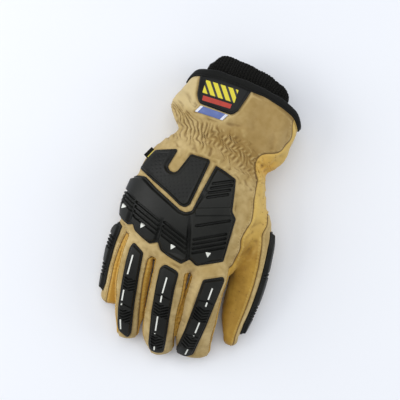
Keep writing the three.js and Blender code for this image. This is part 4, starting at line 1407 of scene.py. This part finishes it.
def finished(tree, colour, rough, bump, **plain):
    """Ends a material. rough is a noise and the roughness where it is low and high, bump a
    height, its strength and its distance, and plain the shader's own values."""
    noisy, smooth, dull = rough
    height, strength, distance = bump
    roughness = add(tree, "ShaderNodeMapRange", {
        "Value": noisy, "From Min": 0.3, "From Max": 0.7, "To Min": smooth, "To Max": dull},
        interpolation_type="SMOOTHSTEP").outputs["Result"]
    normal = add(tree, "ShaderNodeBump", {
        "Height": height, "Strength": strength, "Distance": distance}).outputs["Normal"]
    shader = add(tree, "ShaderNodeBsdfPrincipled", {
        "Base Color": colour, "Roughness": roughness, "Normal": normal, **plain})
    add(tree, "ShaderNodeOutputMaterial", {"Surface": shader.outputs["BSDF"]})


def canvas_material():
    """Tan water-repellent cotton canvas. Plain weave; the real threads are about 0.5 mm and
    are drawn 1.1 mm apart so that they show. Matt, with dusty highlights, painted shade,
    browner, in its creases, seams and at the elastic, painted highlights on its folds' crests
    and painted light on the cuff's left."""
    material, tree, place, wobble, patchy, shade_and_light, painted_fold_light, seam = start_material(
        "tan_cotton_canvas_matt", ((160, 2, 0.5), (34, 4, 0.6)), ("painted_light_and_shade", "painted_fold_light", "seam"))
    warp, weft = (
        add(tree, "ShaderNodeTexWave", {
            "Vector": place, "Scale": 285, "Distortion": 1.2, "Detail": 1},
            bands_direction=axis).outputs["Fac"] for axis in "XY")
    weave = add(tree, "ShaderNodeMath", {0: warp, 1: weft}, operation="ADD").outputs[0]
    # Painted light and shade: the shade-and-light value paints shade, browner, at the elastic and
    # on the cuff's right and light on the cuff's left, the fold value paints shade in the hollows
    # and highlights on the crests, and the seams get painted shade.
    colour = tinted(tree, "ab925d", [
        ("c5ae7b", patchy, 0.35, 0.68, 0, 1), ("8c733c", wobble, 0.4, 0.75, 0, 0.4),
        ("8e713b", shade_and_light, 0, 1, 0, 0.9), ("dcca9a", shade_and_light, -1, 0, 0.6, 0),
        ("65491f", painted_fold_light, 0.02, 0.38, 0, 0.56), ("cbb47c", painted_fold_light, -0.35, -0.05, 0.4, 0),
        ("4a3716", seam, 0.45, 0.95, 0, 0.75)])
    height = add(tree, "ShaderNodeMath", {0: weave, 1: 0.5, 2: wobble},
                 operation="MULTIPLY_ADD").outputs[0]
    finished(tree, colour, (patchy, 0.86, 0.95), (height, 0.35, 0.00035), **{
        "Sheen Weight": 0.1, "Sheen Roughness": 0.6, "Specular IOR Level": 0.2})
    return material


def leather_material():
    """Golden water-resistant full-grain leather: a fine pebbled grain about 1.3 mm across,
    tiny dark pores, soft satin light on the folds, partly from its gloss and partly a painted
    highlight on their crests, painted shade in a redder tone in the creases and seams, painted
    light that makes the fourchettes and the spot by the pinch lighter and warmer, and a lighter
    tone towards the wrist than on the thumb."""
    material, tree, place, broad, painted_warm_light, painted_fold_light, seam = start_material(
        "golden_grain_leather_satin", ((42, 5, 0.6),), ("painted_light_and_shade", "painted_fold_light", "seam"))
    grain = add(tree, "ShaderNodeTexVoronoi", {"Vector": place, "Scale": 760},
                feature="SMOOTH_F1").outputs["Distance"]
    pores = add(tree, "ShaderNodeTexVoronoi", {
        "Vector": place, "Scale": 210, "Randomness": 1}).outputs["Distance"]
    wristward = add(tree, "ShaderNodeSeparateXYZ", {"Vector": place}).outputs["Y"]
    # Painted light and shade: the warm-light value paints the fourchettes and the spot by the
    # pinch lighter and warmer, the fold value paints redder shade in the hollows and highlights
    # on the crests, and the seams get painted shade.
    colour = tinted(tree, "9c7527", [
        ("bb953c", broad, 0.33, 0.7, 0, 1), ("ceb061", wristward, -0.03, 0.02, 0, 0.75),
        ("c2943a", painted_warm_light, 0, 1, 0, 0.7), ("7c5c26", pores, 0.1, 0.2, 0.5, 0),
        ("6a4a17", painted_fold_light, 0.02, 0.42, 0, 0.66), ("d6b968", painted_fold_light, -0.35, -0.06, 0.4, 0),
        ("4f3610", seam, 0.45, 0.95, 0, 0.7)])
    pits = add(tree, "ShaderNodeMapRange", {
        "Value": pores, "From Min": 0.1, "From Max": 0.2, "To Min": -0.4, "To Max": 0},
        interpolation_type="SMOOTHSTEP").outputs["Result"]
    height = add(tree, "ShaderNodeMath", {0: grain, 1: 0.8, 2: pits},
                 operation="MULTIPLY_ADD").outputs[0]
    finished(tree, colour, (broad, 0.55, 0.72), (height, 0.4, 0.00035), **{
        "Specular IOR Level": 0.35, "Sheen Weight": 0.05, "Sheen Roughness": 0.5})
    return material


def rubber_material(name, dark, light):
    """Injection-moulded thermoplastic rubber: near black, a fine spark-eroded mould texture,
    broad soft highlights, and a painted highlight that makes its highest parts a little paler."""
    material, tree, _, grit, broad, height = start_material(
        name, ((1500, 2, 0.5), (60, 4, 0.5)), ("height",))
    # Painted highlight: the highest parts, from the height value, are painted paler.
    colour = tinted(tree, dark, [
        (light, broad, 0.35, 0.7, 0, 1), ("242521", height, 3.2, 4.6, 0, 0.4)])
    finished(tree, colour, (broad, 0.4, 0.52), (grit, 0.25, 0.0002), **{
        "Specular IOR Level": 0.22})
    return material


def tape_material():
    """Black woven polyester binding tape: slanting ribs about 1.2 mm apart, dull."""
    material, tree, place, lint = start_material(
        "black_polyester_binding_tape", ((500, 3, 0.5),))
    ribs = add(tree, "ShaderNodeTexWave", {"Vector": place, "Scale": 300, "Distortion": 1.0},
               bands_direction="DIAGONAL").outputs["Fac"]
    colour = tinted(tree, "0a0b0a", [("181917", lint, 0.35, 0.8, 0, 1)])
    height = add(tree, "ShaderNodeMath", {0: ribs, 1: lint}, operation="ADD").outputs[0]
    finished(tree, colour, (lint, 0.75, 0.9), (height, 0.4, 0.0003), **{
        "Sheen Weight": 0.06, "Sheen Roughness": 0.5, "Specular IOR Level": 0.2})
    return material


def knit_material():
    """Dark acrylic rib knit: columns of V stitches about 2 mm tall on ribs 3 mm apart, soft
    fuzz, and painted shade that leaves it near black between the ribs and lighter on their tops."""
    material, tree, _, fuzz, across, along, rib = start_material(
        "charcoal_acrylic_rib_knit", ((700, 4, 0.5),), ("rib_across", "rib_along", "rib"))
    loop = across
    for operation, second, third in (
        ("PINGPONG", 1.0, 0.0), ("MULTIPLY_ADD", 1.6, along), ("MULTIPLY", math.pi, 0.0),
        ("SINE", 0.0, 0.0),
    ):
        loop = add(tree, "ShaderNodeMath", {0: loop, 1: second, 2: third},
                   operation=operation).outputs[0]
    # Painted shade: near black between the ribs and lighter on their tops, from the rib value.
    colour = tinted(tree, "040404", [
        ("0f0f0d", rib, -0.8, 0.7, 0, 1), ("191815", loop, -0.2, 0.9, 0, 0.4),
        ("25241f", fuzz, 0.45, 0.8, 0, 0.4)])
    height = add(tree, "ShaderNodeMath", {0: loop, 1: 0.6, 2: fuzz},
                 operation="MULTIPLY_ADD").outputs[0]
    finished(tree, colour, (fuzz, 0.88, 0.97), (height, 0.7, 0.0006), **{
        "Sheen Weight": 0.04, "Sheen Roughness": 0.6, "Specular IOR Level": 0.12})
    return material


def trim_material(name, colour, shade, roughness, grain=900, strength=0.2):
    """A small trim piece in one dyed or printed colour, with fine grain and slight wear."""
    material, tree, _, fine, broad = start_material(name, ((grain, 3, 0.5), (130, 4, 0.5)))
    tint = tinted(tree, colour, [(shade, broad, 0.4, 0.75, 0, 0.6)])
    finished(tree, tint, (fine, roughness - 0.06, roughness + 0.06), (fine, strength, 0.0002))
    return material


def hatch_material():
    """Hazard-yellow rubber print with plain dark diagonal bars, about 2.3 mm wide and 6.2 mm
    from one to the next."""
    material, tree, place, fine = start_material(
        "hazard_yellow_print_on_rubber", ((900, 3, 0.5),))
    turned = add(tree, "ShaderNodeMapping", {
        "Vector": place, "Rotation": (0, 0, math.radians(-38))}).outputs["Vector"]
    bars = add(tree, "ShaderNodeSeparateXYZ", {"Vector": turned}).outputs["X"]
    for operation, second in (("MULTIPLY", 2 * math.pi / 0.0062), ("SINE", 0.0)):
        bars = add(tree, "ShaderNodeMath", {0: bars, 1: second}, operation=operation).outputs[0]
    colour = tinted(tree, "d6ca30", [
        ("bdb128", fine, 0.4, 0.8, 0, 0.5), ("2b2b22", bars, 0.32, 0.5, 0, 1)])
    finished(tree, colour, (fine, 0.5, 0.62), (fine, 0.2, 0.0002))
    return material


def make_materials():
    return {
        "canvas": canvas_material(),
        "leather": leather_material(),
        "rubber": rubber_material("thermoplastic_rubber_moulded_satin", "0f100e", "1b1c19"),
        "tape": tape_material(),
        "knit": knit_material(),
        "label": rubber_material("label_rubber_moulded_satin", "0f1010", "191a19"),
        "hatch": hatch_material(),
        "red": trim_material("red_rubber_print", "b0301c", "962617", 0.55),
        "white": trim_material("white_rubber_inlay", "e4e6de", "c8cac0", 0.5),
        "blue": trim_material("blue_woven_satin_label", "56679f", "6f7fb2", 0.6, 1400, 0.3),
        "tag_white": trim_material("white_woven_satin_label", "d9dce6", "bfc5d6", 0.6, 1400, 0.3),
        "yellow": trim_material("yellow_woven_stripe", "d8cb52", "bcae3c", 0.7, 1400, 0.3),
        "tan_thread": trim_material("tan_polyester_thread", "a98d55", "8f7440", 0.7, 2600, 0.3),
        "golden_thread": trim_material(
            "golden_polyester_thread", "bd9c4c", "a07f36", 0.65, 2600, 0.3),
        "black_thread": trim_material("black_polyester_thread", "0c0c0b", "161614", 0.6, 2600),
    }


def dash(start, end, half=0.68):
    """The outline of a straight mark between two points seen from above."""
    start, end = np.asarray(start, float), np.asarray(end, float)
    d = (end - start) / np.linalg.norm(end - start)
    side = np.array([-d[1], d[0]]) * half
    return [start + side, end + side, end - side, start - side]


def triangle(x, y, turn, size):
    """The outline of a triangle that points along turn, in degrees, seen from above."""
    corners = ((0.62, 0.0), (-0.5, 0.62), (-0.5, -0.62))
    c, s = math.cos(math.radians(turn)), math.sin(math.radians(turn))
    return [[x + size * (a * c - b * s), y + size * (a * s + b * c)] for a, b in corners]


def make_guards(skin, materials):
    rubber, slot = materials["rubber"], "guard_rubber"
    top, rows = patch(skin, "knuckle_guard_moulding", over(KNUCKLE_OUTLINE), knuckle_height,
                      rubber, slot, "knuckle_guard", lowest=-0.15)
    tops, marks = [top] * len(TRIANGLES), [triangle(*row) for row in TRIANGLES]
    rows += patch(skin, "metacarpal_guard_moulding", over(METACARPAL_OUTLINE),
                  metacarpal_height, rubber, slot, "metacarpal_guard", lowest=-0.15)[1]
    for name, guard in FINGER_GUARDS.items():
        height = finger_height(guard["path"], guard["joints"], guard["cuts"])
        own = skin["near"][name.split("_")[0]]["away"] < 2.5
        top, row = patch(skin, f"{name}_moulding", over(guard["outline"]), height, rubber, slot,
                         name, levels=2, region=own, lowest=-0.3)
        rows += row
        tops += [top] * len(guard["dashes"])
        marks += [dash(*ends) for ends in guard["dashes"]]
    for name, row in STRIP_GUARDS.items():
        own = skin["near"][name]["away"] < 2.0
        rows += patch(skin, f"{name}_guard_moulding", *strip_fields(name, **row), rubber, slot,
                      f"{name}_guard", region=own)[1]
    inlays("white_guard_marks", tops, marks, materials["white"], slot)
    make_stitches("guard_flange_stitches", rows, materials["black_thread"], slot, 2.6, 1.8, 0.2)


def label_height(verts, field):
    height = 0.2 + 0.5 * smoothstep(field, 0, 0.9) + 0.8 * bell(field - 1.6, 0.9)
    return 0.6 + height * smoothstep(rim_field(verts), 4.5, 7.5)


def make_label(skin, materials):
    """The moulded label on the cuff, its print, and the small woven tag below it."""
    top = patch(
        skin, "label_moulding", lambda v: np.minimum(over(LABEL_OUTLINE)(v), rim_field(v) + 1),
        label_height, materials["label"], "label_rubber", "label_patch", lowest=0.1)[0]
    inlays("label_hazard_field", [top], [LABEL_HATCH], materials["hatch"], "label_rubber", 0.2)
    inlays("label_red_bar", [top], [LABEL_BAR], materials["red"], "label_rubber", 0.2)
    top = patch(
        skin, "woven_tag_strip", over(TAG_OUTLINE),
        lambda v, f: 0.55 + 0.35 * smoothstep(f, 0, 0.7), materials["blue"], "woven_label",
        "woven_tag", lowest=0.1)[0]
    inlays("woven_tag_ends", [top] * 2, TAG_ENDS, materials["tag_white"], "woven_label", 0.1)


def make_side_tag(materials):
    """The loop of webbing sewn into the little finger's side, with its yellow line."""
    low, high = (np.array(corner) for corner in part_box("side_tag"))
    middle = (low + high) / 2 + SIDE_TAG_SHIFT
    for name, material, shift, width in (
        ("side_tag_webbing", materials["tape"], (0, 0, 0), 1.0),
        ("side_tag_line", materials["yellow"], (0.0013, 0.0006, 0.0002), 0.2),
    ):
        bpy.ops.mesh.primitive_cube_add(size=1, location=tuple(middle + shift))
        tag = bpy.context.object
        tag.name = name
        tag.dimensions = SIDE_TAG_SIZE * (width, 1, 1)
        tag.rotation_euler = (0, 0, SIDE_TAG_TURN)
        bpy.ops.object.transform_apply(location=True, rotation=True, scale=True)
        apply_modifier(tag, "BEVEL", width=0.0004, segments=3)
        tag.data.materials.append(material)
        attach(tag, "root")
        if name == "side_tag_webbing":
            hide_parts("side_tag")


def make_stage():
    """The pale floor, the soft lights and the camera straight above the glove."""
    bpy.ops.mesh.primitive_plane_add(size=6, location=(0, 0, -0.0001))
    floor = bpy.context.object
    floor.name = "floor"
    material, tree, _, faint = start_material("pale_matt_floor", ((3, 2, 0.5),))
    shader = add(tree, "ShaderNodeBsdfPrincipled", {
        "Base Color": tinted(tree, "e9ecf1", [("eaedf2", faint, 0.3, 0.7, 0, 1)]),
        "Roughness": 0.9, "Specular IOR Level": 0.1})
    add(tree, "ShaderNodeOutputMaterial", {"Surface": shader.outputs["BSDF"]})
    floor.data.materials.append(material)

    c, s = math.cos(PHOTO_TURN), math.sin(PHOTO_TURN)
    for name, watts, size, right, up, height in SOFTBOXES:
        light = bpy.data.lights.new(name, "AREA")
        light.energy, light.size = watts, size
        place = Vector((right * c - up * s, right * s + up * c, height))
        in_scene(name, light, place, (-place).to_track_quat("-Z", "Y").to_euler())
    light = bpy.data.lights.new("overhead_diffuser", "SUN")
    light.energy, light.angle = 0.9, math.radians(50)
    in_scene("overhead_diffuser", light, turn=(math.radians(-16), math.radians(-9), 0))
    world = bpy.data.worlds.new("soft_white_room")
    world.use_nodes = True
    world.node_tree.nodes["Background"].inputs["Color"].default_value = srgb("f4f6fb")
    world.node_tree.nodes["Background"].inputs["Strength"].default_value = 0.52
    bpy.context.scene.world = world
    bpy.context.scene.view_settings.view_transform = "Standard"

    camera = bpy.data.cameras.new("camera")
    camera.lens, camera.sensor_width = 126, 36
    camera.clip_end = 50
    bpy.context.scene.camera = in_scene("camera", camera, CAMERA_PLACE, (0, 0, PHOTO_TURN))


make_stage()
materials = make_materials()
skin = dress_skin()
make_panels(skin, materials)
make_guards(skin, materials)
make_label(skin, materials)
make_binding(materials["tape"])
make_knit(materials["knit"])
make_side_tag(materials)
seam_stitches(skin, materials)
